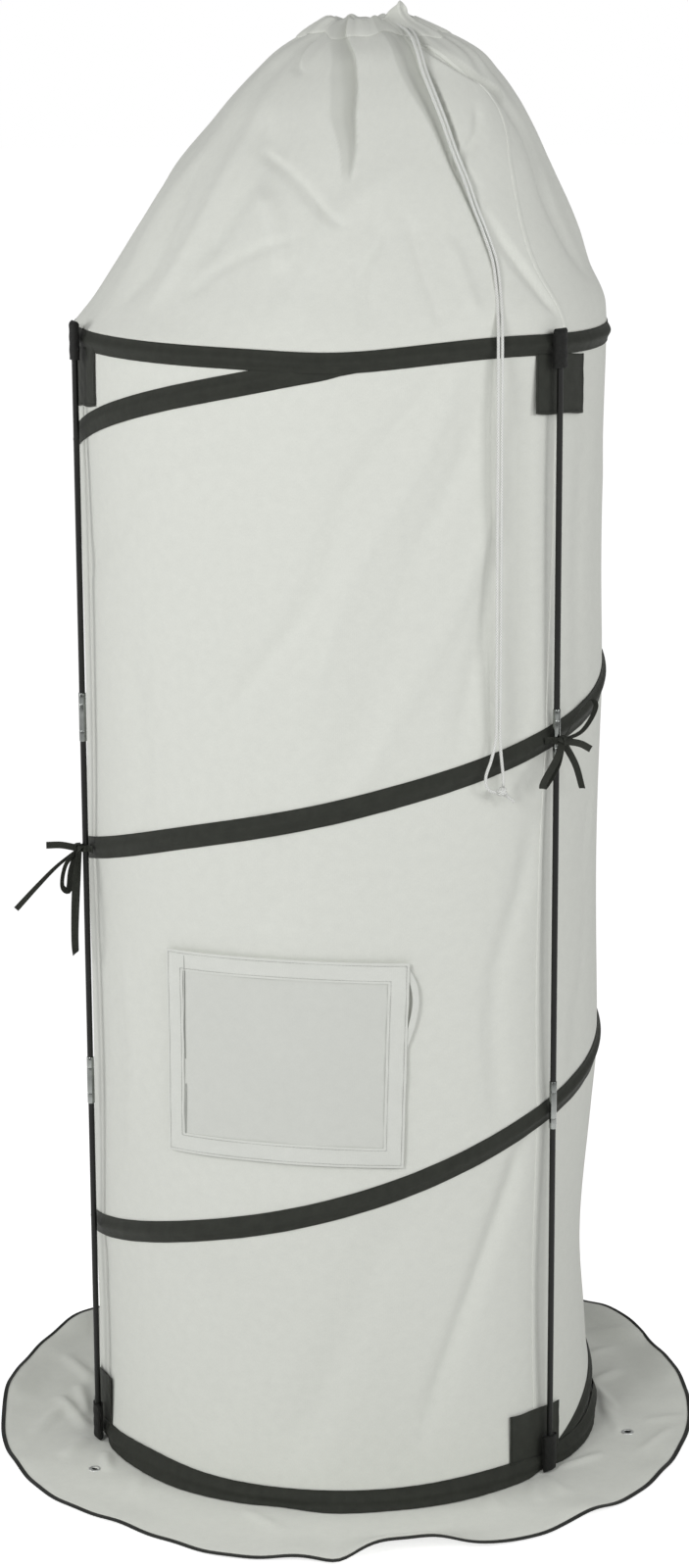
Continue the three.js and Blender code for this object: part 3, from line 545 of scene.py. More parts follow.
def metal(name, dark, light, roughness):
    """Drawn metal with fine lines along it and small smudges."""
    made = Finish(name, Metallic=1.0, Roughness=roughness)
    place = made.solid_place()
    lines = made.noise(place, 260, 4, 0.6, (1.0, 1.0, 0.04))
    smudge = made.noise(place, 24, 3, 0.5)
    made.colour(made.shades(made.ramp(smudge, 0.3, 0.7), dark, light))
    made.rough(made.ramp(lines, 0.3, 0.7, roughness - 0.08, roughness + 0.1))
    made.normal(made.relief(lines, 0.05 * MM, 0.5))
    return made.material


def lacquer(name, dark, light, roughness, specks):
    """Smooth dark coating or moulded plastic with faint specks and scuffs."""
    made = Finish(name, Roughness=roughness, Specular_IOR_Level=0.3)
    place = made.solid_place()
    scuff = made.noise(place, 40, 5, 0.6, (1.0, 1.0, 0.15))
    grain = made.noise(place, specks, 2, 0.5)
    made.colour(made.shades(made.ramp(scuff, 0.4, 0.8), dark, light))
    made.rough(made.ramp(scuff, 0.3, 0.75, roughness - 0.06, roughness + 0.12))
    made.normal(made.relief(grain, 0.04 * MM, 0.5))
    return made.material


def braid(name, dark, light, diameter):
    """Round braided cord: two families of strands crossing on the slant."""
    made = Finish(name, Roughness=0.8, Sheen_Weight=0.2, Sheen_Roughness=0.5, Specular_IOR_Level=0.3)
    place = made.flat_place()
    split = made.node("ShaderNodeSeparateXYZ", {0: place})
    run = made.math("MULTIPLY", split.outputs[0], 2 * math.pi / (0.9 * diameter))
    girth = made.math("MULTIPLY", split.outputs[1], 4 / diameter * 2)
    one = made.math("SINE", made.math("ADD", run, girth))
    other = made.math("SINE", made.math("SUBTRACT", run, girth))
    strands = made.math("MAXIMUM", one, other)
    made.colour(made.shades(made.ramp(strands, -0.6, 1.0), dark, light))
    fuzz = made.noise(place, 1500, 2, 0.6)
    below = made.relief(strands, 0.25 * MM, 0.8)
    made.normal(made.relief(fuzz, 0.08 * MM, 0.5, below))
    return made.material


def pale_stage(name, colour):
    """White floor that takes the object's shadow close by and is plain white further off."""
    made = Finish(name, Roughness=0.9, Specular_IOR_Level=0.1)
    path = made.node("ShaderNodeLightPath")
    seen = made.math("MAXIMUM", path.outputs["Is Camera Ray"], path.outputs["Is Glossy Ray"])
    seen = made.math("MAXIMUM", seen, path.outputs["Is Transmission Ray"])
    place = made.solid_place()
    grain = made.math("MULTIPLY", made.noise(place, 3, 2), 0.06)
    away = made.node("ShaderNodeVectorMath", {0: place}, operation="LENGTH").outputs["Value"]
    far = made.ramp(away, 0.75, 2.2)
    plain = made.blend(grain, colour, (0.6, 0.6, 0.6, 1))
    close_by = made.blend(seen, plain, (0.95, 0.95, 0.95, 1))
    made.colour(made.blend(made.math("MULTIPLY", seen, far), close_by, (0.0, 0.0, 0.0, 1)))
    glow = made.math("MULTIPLY", seen, made.ramp(far, 0.0, 1.0, 0.7, 1.02))
    made.shader.inputs["Emission Color"].default_value = (1, 1, 1, 1)
    made.tree.links.new(glow, made.shader.inputs["Emission Strength"])
    return made.material


CLOTH = fleece("pale_fleece", srgb(215, 217, 210), srgb(225, 227, 220))
HATCH_CLOTH = fleece("hatch_fleece", srgb(207, 209, 203), srgb(215, 217, 211), 0.8)
HATCH_TAPE = fleece("hatch_tape", srgb(213, 215, 209), srgb(222, 224, 218), 0.7)
BLACK_TAPE = black_weave("black_tape", srgb(36, 38, 33), srgb(55, 57, 51), 0.8 * MM, 0.72, 0.03)
PATCH_CLOTH = black_weave("patch_cloth", srgb(40, 42, 37), srgb(58, 60, 54), 1.1 * MM, 0.72, 0.04)
BINDING = black_weave("binding_tape", srgb(24, 25, 23), srgb(44, 46, 42), 0.8 * MM, 0.6, 0.08)
POCKET_WEBBING = bonded_black("pocket_webbing", srgb(12, 12, 11), srgb(28, 29, 26))
ROD_BLACK = lacquer("rod_black", srgb(13, 14, 12), srgb(26, 27, 24), 0.4, 900)
TIP_PLASTIC = lacquer("tip_plastic", srgb(24, 25, 27), srgb(40, 41, 43), 0.45, 500)
PLATED_STEEL = metal("plated_steel", srgb(104, 107, 105), srgb(150, 153, 150), 0.2)
EYELET_PLATE = metal("eyelet_plate", srgb(196, 198, 196), srgb(226, 228, 226), 0.5)
# Painted shade: dark metal for a disc that stands in for each eyelet's shadowed peg hole
EYELET_SHADE_METAL = metal("eyelet_painted_shade", srgb(44, 46, 44), srgb(62, 64, 61), 0.7)
SPRING_STEEL = metal("spring_steel", srgb(110, 113, 118), srgb(150, 154, 160), 0.35)
ELASTIC = bonded_black("elastic_black", srgb(20, 20, 21), srgb(38, 38, 40))
WHITE_CORD = braid("white_cord", srgb(196, 198, 194), srgb(240, 241, 237), 4 * MM)
# Painted shade: a grey braid for the thin thread that stands in for the hatch's shadowed slit
SLIT_SHADE = braid("slit_shade", srgb(118, 122, 116), srgb(146, 150, 143), 1.2 * MM)
THREAD = braid("pale_thread", srgb(176, 178, 172), srgb(214, 216, 210), 1.2 * MM)


def complete(piece, material, body, node=None, keep=None):
    """Dresses a piece, sets it on its body and hides the solid it stands for. A piece given a share
    to keep gets a mesh of its own."""
    piece.data.materials.clear()
    piece.data.materials.append(material)
    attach(piece, body)
    if keep is not None:
        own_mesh(piece)
    if node is not None:
        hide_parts(node)


def complete_hood(piece, material, node=None):
    complete(piece, material, "top", node, HOOD_KEEP)


# Drawcord: two strands from the gathered mouth down to one knot, in millimetres
LEFT_STRAND = [
    [64.3, -38.7, 1920.5], [70, -48, 1917], [80, -64, 1911.5], [89, -90, 1904], [96, -121, 1888],
    [105, -150, 1857], [116, -169, 1829], [127, -183, 1801], [140, -201, 1764], [155, -216, 1727],
    [165, -227, 1698], [177, -236, 1668], [189, -249, 1632], [193.5, -270, 1592], [194.5, -290, 1560],
    [194.5, -302.5, 1535], *[[194.5, -304.5, height] for height in (1510, 1400, 1250, 1100)],
    [194, -304.5, 1035], [188, -309, 1008], [181, -314.5, 987], [184, -314, 972], [195.1, -308.7, 966.1],
]
RIGHT_STRAND = [
    [71.4, -37.5, 1920.5], [77, -45, 1917], [87, -60, 1911.5], [95, -87, 1904], [101, -119, 1888],
    [110, -148, 1857], [121, -167, 1829], [132, -181, 1801], [145, -199, 1764], [160, -213, 1727],
    [170, -224, 1698], [182, -233, 1668], [194, -246, 1632], [198.5, -267, 1592], [199.5, -287, 1560],
    [199.5, -299.5, 1535], *[[199.5, -301.5, height] for height in (1510, 1400, 1250, 1100, 1035)],
    [201.5, -301.5, 1008], [203.5, -301, 988], [203.8, -302.8, 972.9],
]
KNOT_PLACE = [202, -306, 966.5]
KNOT_TAIL = [KNOT_PLACE, [206, -303, 962], [211, -299, 958], [218, -295, 951]]
# The loop across the knot's front, each point counted from its middle
KNOT_LOOP = [[-5, 3, -2], [-6, -2, 1], [-1, -5.5, 2], [4, -4, 0], [5.5, 1, -3], [2, 3, -5]]
KNOT_CORD = 2.1 * MM
KNOT_CORE = 3.4 * MM
WRAP_RADIUS = 4.2 * MM
WRAP_RISE = 0.34 * MM


def make_knot():
    """Two turns pulled tight round the strands, and the loose end below them."""
    middle = np.array(KNOT_PLACE) * MM
    turns = []
    for k in range(25):
        turn = 2 * math.pi * k / 11
        turns.append(middle + np.array([
            WRAP_RADIUS * math.cos(turn), WRAP_RADIUS * math.sin(turn), (k - 12) * WRAP_RISE,
        ]))
    wraps = tube("knot_wraps", turns, KNOT_CORD, 10, 110)
    across = [middle + np.array(step) * MM for step in KNOT_LOOP]
    loop = tube("knot_loop", across, KNOT_CORD, 10, 50)
    upright = [middle + (0, 0, 6 * MM), middle, middle - (0, 0, 5 * MM)]
    core = tube("knot_core", upright, KNOT_CORE, 12, 12)
    tail = tube("knot_tail", np.array(KNOT_TAIL) * MM, CORD_RADIUS, 10, 24)
    knot = join("drawcord_knot_tied", [wraps, loop, core, tail])
    complete_hood(knot, WHITE_CORD, "drawcord_knot")
    return knot


def make_strands(knot):
    for side, points in (("left", LEFT_STRAND), ("right", RIGHT_STRAND)):
        route = np.array(points) * MM
        line = smooth_route(route, 241)
        strand = tube(f"drawcord_{side}", route, CORD_RADIUS, 12, 240)
        complete_hood(strand, WHITE_CORD, f"drawcord_strand_{side}")


make_strands(make_knot())


# The sprung spiral: how far it has climbed as shares of its turns and of its rise
SPIRAL_START = 54
SPIRAL_END = 1080
SPIRAL_SHARES = [
    (0, 0), (0.024, 0.031), (0.125, 0.113), (0.225, 0.195), (0.27, 0.241), (0.304, 0.279), (0.337, 0.32),
    (0.364, 0.346), (0.406, 0.381), (0.474, 0.447), (0.532, 0.505), (0.587, 0.559), (0.623, 0.598),
    (0.655, 0.629), (0.691, 0.66), (0.727, 0.692), (0.776, 0.743), (0.831, 0.805), (0.883, 0.866),
    (0.922, 0.913), (0.943, 0.941), (0.961, 0.961), (0.977, 0.977), (1, 1),
]
spiral_rise = smooth_table(SPIRAL_SHARES)


def ring_warp(angle):
    """The top ring isn't quite level: it rises at the right and dips in the middle."""
    return 8 * MM * bump(angle, 33, 22) - 4 * MM * bump(angle, -2, 14) - 1.5 * MM * bump(angle, 15, 60)


def spiral_height(turned_angle):
    share = (turned_angle - SPIRAL_START) / (SPIRAL_END - SPIRAL_START)
    rise = spiral_rise(share)
    return BOTTOM_RING + (TOP_RING - BOTTOM_RING) * rise + ring_warp(turned_angle) * rise**3


def band_levels(angle):
    """The heights of the bands that hold the cloth out, from the bottom ring up."""
    first = SPIRAL_START + (angle - SPIRAL_START) % 360
    turns = [spiral_height(first + 360 * k) for k in range(3)]
    return [BOTTOM_RING + 0 * angle, *turns, TOP_RING + ring_warp(angle)]


def slack_between_bands(angle, z):
    """The cloth draws in a little between the bands."""
    levels = band_levels(angle)
    slack = 0
    for low, high in zip(levels, levels[1:]):
        room = np.maximum(high - low, 1 * MM)
        t = np.clip((z - low) / room, 0, 1)
        slack = slack + 4 * t * (1 - t) * 4.5 * MM * smooth_step(room / 0.32)
    return slack


def loose_share(angle, z):
    """0 on a band, 1 well away from one, where the cloth can fold freely."""
    nearest = np.min([np.abs(z - level) for level in band_levels(angle)], axis=0)
    return smooth_step((nearest - 13 * MM) / (22 * MM))


# Folds of the wall, each a route of (angle, height), a depth and a half width in millimetres
WALL_FOLDS = [
    ([(24, 1.56), (20, 1.503), (1.1, 1.356), (-7.6, 1.214), (-23.1, 1.084), (-28, 1.0)], 5.1, 12),
    ([(25, 1.54), (22.3, 1.47), (11.9, 1.345), (2.6, 1.247), (-3.6, 1.142), (-8, 1.05)], -4.2, 14),
    ([(30, 1.5), (26.8, 1.406), (16.6, 1.282), (9.4, 1.164), (0.1, 1.006), (-6, 0.92)], 5.6, 19),
    ([(36, 1.4), (33.3, 1.323), (22.5, 1.185), (8, 1.029), (2, 0.94)], -3.8, 15),
    ([(36, 1.3), (33.4, 1.227), (27, 1.084), (24, 1.0)], 4, 13),
    ([(40, 1.52), (40, 1.45), (41, 1.1), (41, 0.98)], 9, 24),
    ([(45, 0.95), (43.4, 0.86), (35.2, 0.711), (35.5, 0.538), (36, 0.48)], 4.8, 17),
    ([(43, 0.52), (41.1, 0.469), (33.1, 0.344), (24.5, 0.217), (18.8, 0.118), (17, 0.05)], 9, 14),
    ([(16, 0.45), (12.2, 0.411), (1.6, 0.265), (-9.1, 0.091), (-11, 0.04)], 4, 26),
    ([(-70, 1.2), (-64, 1.255), (-33.5, 1.378), (-20, 1.42)], 3.5, 20),
    ([(-52, 1.15), (-48, 0.98), (-50, 0.84)], 2.9, 22),
    ([(-20, 0.98), (-14, 0.9), (-16, 0.78)], 2.6, 20),
    ([(-58, 0.74), (-54, 0.6), (-57, 0.42)], -2.9, 20),
    ([(66, 1.44), (62, 1.2), (64, 0.98)], 4.2, 19),
    ([(72, 0.95), (66, 0.7), (60, 0.5)], 3.8, 19),
    ([(-30, 0.36), (-26, 0.22), (-30, 0.06)], 2.9, 22),
]


def back_folds():
    """Softer folds of the same kind round the sides that the photograph doesn't show."""
    chance = np.random.default_rng(11)
    made = []
    for k in range(34):
        start = 78 + k * 6.1 + chance.uniform(-2, 2)
        top = chance.uniform(0.45, 1.45)
        drop = chance.uniform(0.22, 0.42)
        drift = chance.uniform(-16, 16)
        foot = max(0.04, top - drop)
        route = [(start, top), (start + drift * 0.6, top - drop / 2), (start + drift, foot)]
        depth = chance.choice([-1, 1]) * chance.uniform(1.4, 3.2)
        made.append((route, depth, chance.uniform(14, 26)))
    return made


def right_hollow(angle, z):
    """The wall is drawn in at its right side just above the ground, and the spiral with it."""
    wide = 18 * MM * bump(angle, 92, 30) * np.exp(-(((z - 0.27) / 0.16) ** 2))
    return wide + 10 * MM * bump(angle, 112, 24) * np.exp(-(((z - 0.1) / 0.055) ** 2))


def wall_relief(angle, z):
    folds = 0
    for route, depth, half in WALL_FOLDS + back_folds():
        folds = folds + crease(angle, z, route, depth * MM, half * MM, WALL_RADIUS)
    # A fold that runs in under a band stays; one that would push out against it dies away
    loose = loose_share(angle, z)
    folds = np.maximum(folds, 0) * (0.4 + 0.6 * loose) + np.minimum(folds, 0) * loose
    relief = slack_between_bands(angle, z) + folds + right_hollow(angle, z)
    drift = 0.8 * MM * np.sin(5 * angle * DEGREE + 7 * z) * np.sin(9 * z + 1.3)
    near_ring = np.minimum(z - WALL_BOTTOM, WALL_TOP - z)
    return (relief + drift * loose) * smooth_step(near_ring / 0.035)


# Hatch, its border and the hole behind it
HATCH_LEFT = -40.7
HATCH_RIGHT = 13.8
HATCH_BOTTOM = 476.5 * MM
HATCH_TOP = 751 * MM
HATCH_EDGE = 27 * MM
HOLE_LEFT = -35
HOLE_RIGHT = 7.6
HOLE_BOTTOM = 512 * MM
HOLE_TOP = 716 * MM


def make_wall():
    def shape(u, v):
        angle = -180 + 360 * u
        top = WALL_TOP + ring_warp(angle)
        z = WALL_BOTTOM + (top - WALL_BOTTOM) * v
        return round_at(angle, WALL_RADIUS - wall_relief(angle, z), z)

    def in_hole(u, v):
        angle = -180 + 360 * u
        z = WALL_BOTTOM + (WALL_TOP - WALL_BOTTOM) * v
        return (HOLE_LEFT < angle) & (angle < HOLE_RIGHT) & (HOLE_BOTTOM < z) & (z < HOLE_TOP)

    wall = drape("wall_cloth", 300, 160, shape, WALL_CUT, closed=True, gaps=in_hole)
    thicken(wall, CLOTH_THICK)
    complete(wall, CLOTH, "base", "wall_panel", WALL_KEEP)


def seam_strip(name, route):
    """A narrow felled seam: the cloth folded over and sewn down on itself."""
    centre_of = smooth_table([(z, angle) for angle, z in route])
    low = min(z for _, z in route)
    high = max(z for _, z in route)

    def shape(u, v):
        z = low + (high - low) * v
        angle = centre_of(z) + (u - 0.5) * SEAM_WIDTH / WALL_RADIUS / DEGREE
        lift = 0.9 * MM * (1 - (2 * u - 1) ** 6)
        return round_at(angle, WALL_RADIUS - wall_relief(angle, z) + lift, z)

    strip = drape(name, 8, 200, shape, (SEAM_WIDTH, high - low))
    thicken(strip, TAPE_THICK)
    complete(strip, CLOTH, "base", keep=WALL_KEEP)


def tape_section(v, crest, width=BAND):
    """How far a tape stands off the wall across its width: flat margins and a hump over the wire."""
    away = (v - 0.5) * width
    return 0.75 * MM + crest * np.exp(-((away / (6.6 * MM)) ** 2))


TAPE_PUCKER = 0.22 * MM


def tape_ripple(run, v):
    """Small puckers where the tape was sewn round a curve."""
    wave = np.sin(run * 97) + 0.6 * np.sin(run * 173 + 1.7) + 0.5 * np.sin(run * 41 + 0.4)
    return TAPE_PUCKER * wave * (2 * v - 1)


def near_ground(turned_angle):
    """1 where the spiral's front sinks towards the bottom ring and its tape lies flatter."""
    return np.exp(-(((turned_angle - 110) / 24) ** 2))


def make_spiral_tape():
    # The tape runs on a little past the wire and ends behind the top ring's tape
    tape_end = SPIRAL_END + 12

    def shape(u, v):
        turned_angle = SPIRAL_START + (tape_end - SPIRAL_START) * u
        centre = spiral_height(np.minimum(turned_angle, SPIRAL_END))
        centre = centre + ring_warp(turned_angle) * (turned_angle > SPIRAL_END)
        centre = centre - ring_warp(SPIRAL_END) * (turned_angle > SPIRAL_END)
        centre = centre - 2.5 * MM * bump(turned_angle, SPIRAL_END, 5) * (turned_angle > 900)
        # Where it comes close to a ring it lies flat and slips in under the ring's tape
        room = np.minimum(centre - BOTTOM_RING, TOP_RING + ring_warp(turned_angle) - centre)
        crest = 4.6 * MM * smooth_step((room - 10 * MM) / (16 * MM))
        crest = crest * (1 - 0.7 * near_ground(turned_angle))
        under = 0.55 * MM * (1 - smooth_step((room - 20 * MM) / (12 * MM)))
        run = turned_angle * DEGREE * WALL_RADIUS
        # Both ends taper, and the lower edge sags beside the right pole's foot
        narrow = 8 * MM * (smooth_step((turned_angle - 1074) / 12) + smooth_step((0.02 - u) / 0.02))
        wide = 9 * MM * np.exp(-(((turned_angle - 81) / 9) ** 2)) * (0.5 - v)
        z = centre + (v - 0.5) * (SPIRAL_BAND - narrow) + 0.4 * MM * np.sin(run * 23) * (room > 0.02)
        z = z - wide * (v < 0.5)
        radius = WALL_RADIUS + tape_section(v, crest, SPIRAL_BAND) - under + tape_ripple(run, v)
        return round_at(turned_angle, radius - right_hollow(turned_angle, z), z)

    tape = drape("spiral_tape", 760, 14, shape, (SPIRAL_RUN, SPIRAL_BAND))
    thicken(tape, TAPE_THICK)
    complete(tape, BLACK_TAPE, "base", "spiral_sleeve", SPIRAL_KEEP)


def make_spiral_wire():
    route = []
    for turned_angle in np.arange(SPIRAL_START, SPIRAL_END, 3.0):
        height = float(spiral_height(np.array([turned_angle]))[0])
        if BOTTOM_RING + 0.025 < height < TOP_RING - 0.022:
            stand = (2.5 - 2 * float(near_ground(turned_angle))) * MM
            radius = WALL_RADIUS + stand - float(right_hollow(turned_angle, height))
            route.append(round_at(turned_angle, radius, height))
    wire = tube("spiral_spring", route, WIRE_RADIUS, 8, 640)
    complete(wire, SPRING_STEEL, "base", "spiral_wire", SPIRAL_KEEP)


def bottom_tape_top(angle):
    """The bottom tape's upper edge runs a little up and down."""
    swells = [(-50, 14, 7), (32, 16, 3), (82, 9, 14), (150, 30, 2)]
    return MM * (28.5 + sum(size * bump(angle, centre, half) for centre, half, size in swells))


def bottom_tape_spread(angle):
    """How far the bottom tape's lower margin turns out onto the skirt; the boots press it flat."""
    waves = [(-38, 12, 4), (-14, 6, -5), (-2, 9, 5), (20, 14, 3), (120, 20, 3), (-140, 20, 3)]
    spread = 10 + sum(size * bump(angle, centre, half) for centre, half, size in waves)
    flats = [(-85, 17, 0.92), (86, 14, 0.75), (169.5, 9, 0.9), (-70.5, 4, 0.5), (49.5, 4, 0.9)]
    pressed = sum(share * bump(angle, centre, half) for centre, half, share in flats)
    return MM * spread * (1 - pressed)


def make_ring(name, height, warp, body):
    def shape(u, v):
        angle = 360 * u
        turn = 2 * np.pi * u
        centre = height + warp * ring_warp(angle)
        ripple = TAPE_PUCKER * (2 * v - 1) * (np.sin(97 * turn) + 0.6 * np.sin(41 * turn + 1))
        radius = WALL_RADIUS + tape_section(v, 4.8 * MM) + 0.1 * MM + ripple
        if warp:
            return round_at(angle, radius, centre + (v - 0.5) * BAND)
        spread = bottom_tape_spread(angle)
        foot = 3.4 * MM
        z = foot + (bottom_tape_top(angle) - foot) * v
        return round_at(angle, radius + spread * (1 - v) ** 3, z)

    tape = drape(f"{name}_ring_tape", 300, 16, shape, (GIRTH, BAND), closed=True)
    thicken(tape, TAPE_THICK)
    complete(tape, BLACK_TAPE, body, f"{name}_ring_sleeve")

    def wire_shape(u, v):
        angle = 360 * u
        turn = 2 * np.pi * v
        z = height + warp * ring_warp(angle) - WIRE_RADIUS * np.sin(turn)
        return round_at(angle, WALL_RADIUS + 2.6 * MM + WIRE_RADIUS * np.cos(turn), z)

    wire = drape(f"{name}_ring_spring", 240, 8, wire_shape, (GIRTH, 10 * MM), closed=True)
    close_ends(wire)
    complete(wire, SPRING_STEEL, body, f"{name}_ring_wire")


make_wall()
seam_strip("wall_seam_right", [(52.4, 1.5), (52.4, 1.438), (47.8, 0.838), (47.3, 0.147), (47.3, 0.03)])
seam_strip("wall_seam_left", [(-73.4, 1.5), (-73, 1.363), (-71.2, 0.383), (-71, 0.03)])
make_spiral_tape()
make_spiral_wire()
make_ring("top", TOP_RING, 1, "top")
make_ring("bottom", BOTTOM_RING, 0, "base")


# Ground skirt
SKIRT_RADIUS = 497 * MM
SKIRT_INNER = 344 * MM
SKIRT_FLAT = 428 * MM
SKIRT_BINDING = 6 * MM
# Where the skirt's edge stands up: angle, half width in degrees and height in millimetres
RIPPLES = [
    (5, 5, 21), (13, 7, 24), (-8, 5, 4.5), (39, 6, 8), (126, 10, 19), (-126, 9, 14.5), (-97, 9, 5),
    (100, 8, 5), (-150, 9, 9.5), (148, 8, 8), (-40, 6, 4),
]
# Where the edge was cut a little full: angle, half width in degrees and how far in millimetres
EDGE_SWELLS = [
    (-18.5, 6, 12), (-51, 8, 5), (-1, 2.6, 10), (31, 3.5, 6), (66, 12, -5), (-85, 7, -3), (140, 9, 6),
]
# Wrinkles where the ring's foot and the boots pull at the cloth: the start's and the end's angle
# and radius, the height and the half width, lengths in millimetres
SKIRT_WRINKLES = [
    (124, 436, 117, 484, 5.6, 11), (115, 395, 116, 436, 4, 9), (101, 364, 105, 405, 4.8, 9),
    (98, 360, 86, 380, 4.8, 8), (91, 358, 76, 392, 4, 9), (53, 368, 62, 392, 4, 8),
    (46, 376, 44, 416, 4.8, 9), (43, 368, 39, 410, 4, 8), (32, 364, 30, 404, 3.2, 8),
    (83, 474, 81, 432, 3.2, 9), (77, 460, 68, 440, 3.2, 9), (-70, 384, -66, 420, 5.6, 9),
    (-78, 372, -92, 404, 6.4, 10), (-84, 366, -98, 384, 4.8, 9), (-88, 400, -78, 440, 4, 11),
    (-62, 372, -56, 392, 4.8, 8), (-48, 372, -44, 410, 4, 9), (-20, 380, -12, 420, 2.9, 10),
    (-104, 380, -112, 440, 4.8, 10), (170, 380, 178, 430, 4.8, 10), (-160, 380, -150, 440, 4, 10),
    (140, 380, 132, 440, 4, 10),
]
EYELET_ANGLES = {"left": -57, "right": 74.5, "rear": 188}
EYELET_PLACE = 406 * MM


def skirt_edge(angle):
    waves = 8 * np.cos(2 * angle * DEGREE) + 2.5 * np.cos(6 * angle * DEGREE) + 1.5
    swells = sum(size * bump(angle, centre, half) for centre, half, size in EDGE_SWELLS)
    return SKIRT_RADIUS + MM * (waves + swells)


def skirt_lift(angle, radius):
    ramp = smooth_step((radius - SKIRT_FLAT) / (skirt_edge(angle) - SKIRT_BINDING - SKIRT_FLAT))
    ripples = sum(height * MM * bump(angle, centre, half) for centre, half, height in RIPPLES)
    small = 1.0 * MM * np.sin(23 * angle * DEGREE + 3) + 0.8 * MM * np.sin(37 * angle * DEGREE)
    return ramp * (ripples + 2.2 * MM + small)


def wrinkle(x, y, start_angle, start, end_angle, end, height, half):
    """How high a soft ridge from one place to another lifts the skirt at x, y."""
    x0, y0, _ = round_at(start_angle, start * MM, 0)
    x1, y1, _ = round_at(end_angle, end * MM, 0)
    run_x, run_y = x1 - x0, y1 - y0
    run = math.hypot(run_x, run_y)
    t = np.clip(((x - x0) * run_x + (y - y0) * run_y) / run**2, 0, 1)
    away = np.hypot(x - x0 - t * run_x, y - y0 - t * run_y)
    size = 0.35 + 0.65 * np.sin(np.pi * (0.12 + 0.76 * t))
    return height * MM * size * np.exp(-((away / (half * MM)) ** 2))


def skirt_top(angle, radius):
    flat_room = smooth_step((radius - 0.36) / 0.03) * smooth_step((SKIRT_FLAT + 0.03 - radius) / 0.03)
    x, y, _ = round_at(angle, radius, 0)
    wrinkles = sum(wrinkle(x, y, *row) for row in SKIRT_WRINKLES)
    waves = np.sin(17 * angle * DEGREE + 30 * radius) * np.sin(29 * angle * DEGREE)
    rumple = 0.5 * MM * flat_room * (1 + waves)
    return 1.9 * MM + skirt_lift(angle, radius) + rumple + wrinkles * smooth_step((radius - 0.354) / 0.012)


def make_skirt():
    def shape(u, v):
        angle = -180 + 360 * u
        edge = skirt_edge(angle) - 0.6 * MM
        radius = edge + (SKIRT_INNER - edge) * v
        return round_at(angle, radius, skirt_top(angle, radius))

    skirt = drape("skirt_cloth", 380, 44, shape, (SKIRT_GIRTH, SKIRT_CUT), closed=True)
    thicken(skirt, CLOTH_THICK)
    complete(skirt, CLOTH, "base", "ground_skirt")

    def binding_shape(u, v):
        angle = -180 + 360 * u
        edge = skirt_edge(angle)
        turn = np.pi * smooth_step((v - 0.35) / 0.3)
        flat_run = SKIRT_BINDING - 1.5 * MM
        under = smooth_step(0.5 * (1 - v / 0.35)) * 2
        over = smooth_step(0.5 * (v - 0.65) / 0.35) * 2
        radius = edge - flat_run * (under + over) + 1.3 * MM * np.sin(turn) - 0.8 * MM
        middle = skirt_top(angle, np.minimum(radius, edge)) - 0.35 * MM
        return round_at(angle, radius, middle - 1.25 * MM * np.cos(turn))

    binding = drape(
        "skirt_edge_binding", 360, 14, binding_shape, (SKIRT_GIRTH, 14 * MM), closed=True,
    )
    thicken(binding, TAPE_THICK)
    complete(binding, BINDING, "base", "skirt_binding")


# A rolled grommet, a rounded flange that turns down into its barrel, and a dark disc of painted shade
# just above the cloth standing for its peg hole: radius and height in millimetres, the heights from the
# cloth's top
EYELET_SEAT = 2.1
EYELET_FLANGE = [
    (4.6, 0.15 - EYELET_SEAT), (5.3, 0.15 - EYELET_SEAT), (5.5, 0), (8.6, 0), (9, 0.4), (8.6, 0.95),
    (7.4, 1.35), (6.2, 1.4), (5.1, 1.1), (4.55, 0.4),
]
EYELET_SHADE_DISC = [(0.2, 0.3), (4.5, 0.3), (4.5, 0.7), (0.2, 0.7)]


def make_eyelets():
    for side, angle in EYELET_ANGLES.items():
        x, y, _ = round_at(angle, EYELET_PLACE, 0)
        for name, outline, finish, node in (
            ("grommet", EYELET_FLANGE, EYELET_PLATE, f"skirt_eyelet_{side}"),
            # A dark disc of painted shade over the peg hole
            ("grommet_shade_disc", EYELET_SHADE_DISC, EYELET_SHADE_METAL, None),
        ):
            profile = [(radius * MM, (EYELET_SEAT + height) * MM) for radius, height in outline]
            eyelet = turned(f"{name}_{side}", profile, (float(x), float(y), 0), 36)
            complete(eyelet, finish, "base", node)


make_skirt()
make_eyelets()


# Patches sewn behind the caps and boots
def make_patch(name, node, body, angle, half, tilt, bottom, top):
    width = 2 * half * DEGREE * WALL_RADIUS

    def shape(u, v):
        turned_angle = angle + (2 * u - 1) * half
        z = bottom + (top - bottom) * v + tilt * (u - 0.5)
        hem = 1 - smooth_step(np.minimum(np.minimum(u, 1 - u) * width, v * (top - bottom)) / (5 * MM))
        quilt = 0.35 * MM * np.sin(u * 17 + v * 5) * np.sin(v * 13 + 1)
        stand = 1.3 * MM + 0.4 * MM * hem + quilt * smooth_step(v * 8)
        radius = WALL_RADIUS + stand
        return round_at(turned_angle, radius, z + 0.8 * MM * np.sin(u * 9 + angle))

    def seam_place(x, z):
        lifted = bottom + z + tilt * (x / width - 0.5)
        return round_at(angle - half + x / WALL_RADIUS / DEGREE, WALL_RADIUS + 1.95 * MM, lifted)

    patch = drape(name, 24, 28, shape, (width, top - bottom))
    thicken(patch, PATCH_THICK)
    inset = 3.2 * MM
    pitch = 3.2 * MM
    right, high = width - inset, top - bottom
    corners = [(inset, high), (inset, inset), (right, inset), (right, high)]
    thread = join(f"{name}_stitching", sewn_along(corners, 9, seam_place, pitch))
    keep, anchor = (WALL_KEEP, GROUND) if body == "base" else (PATCH_KEEP, RING_FOOT)
    complete(patch, PATCH_CLOTH, body, node, keep)
    complete(thread, BINDING, body, None, keep)


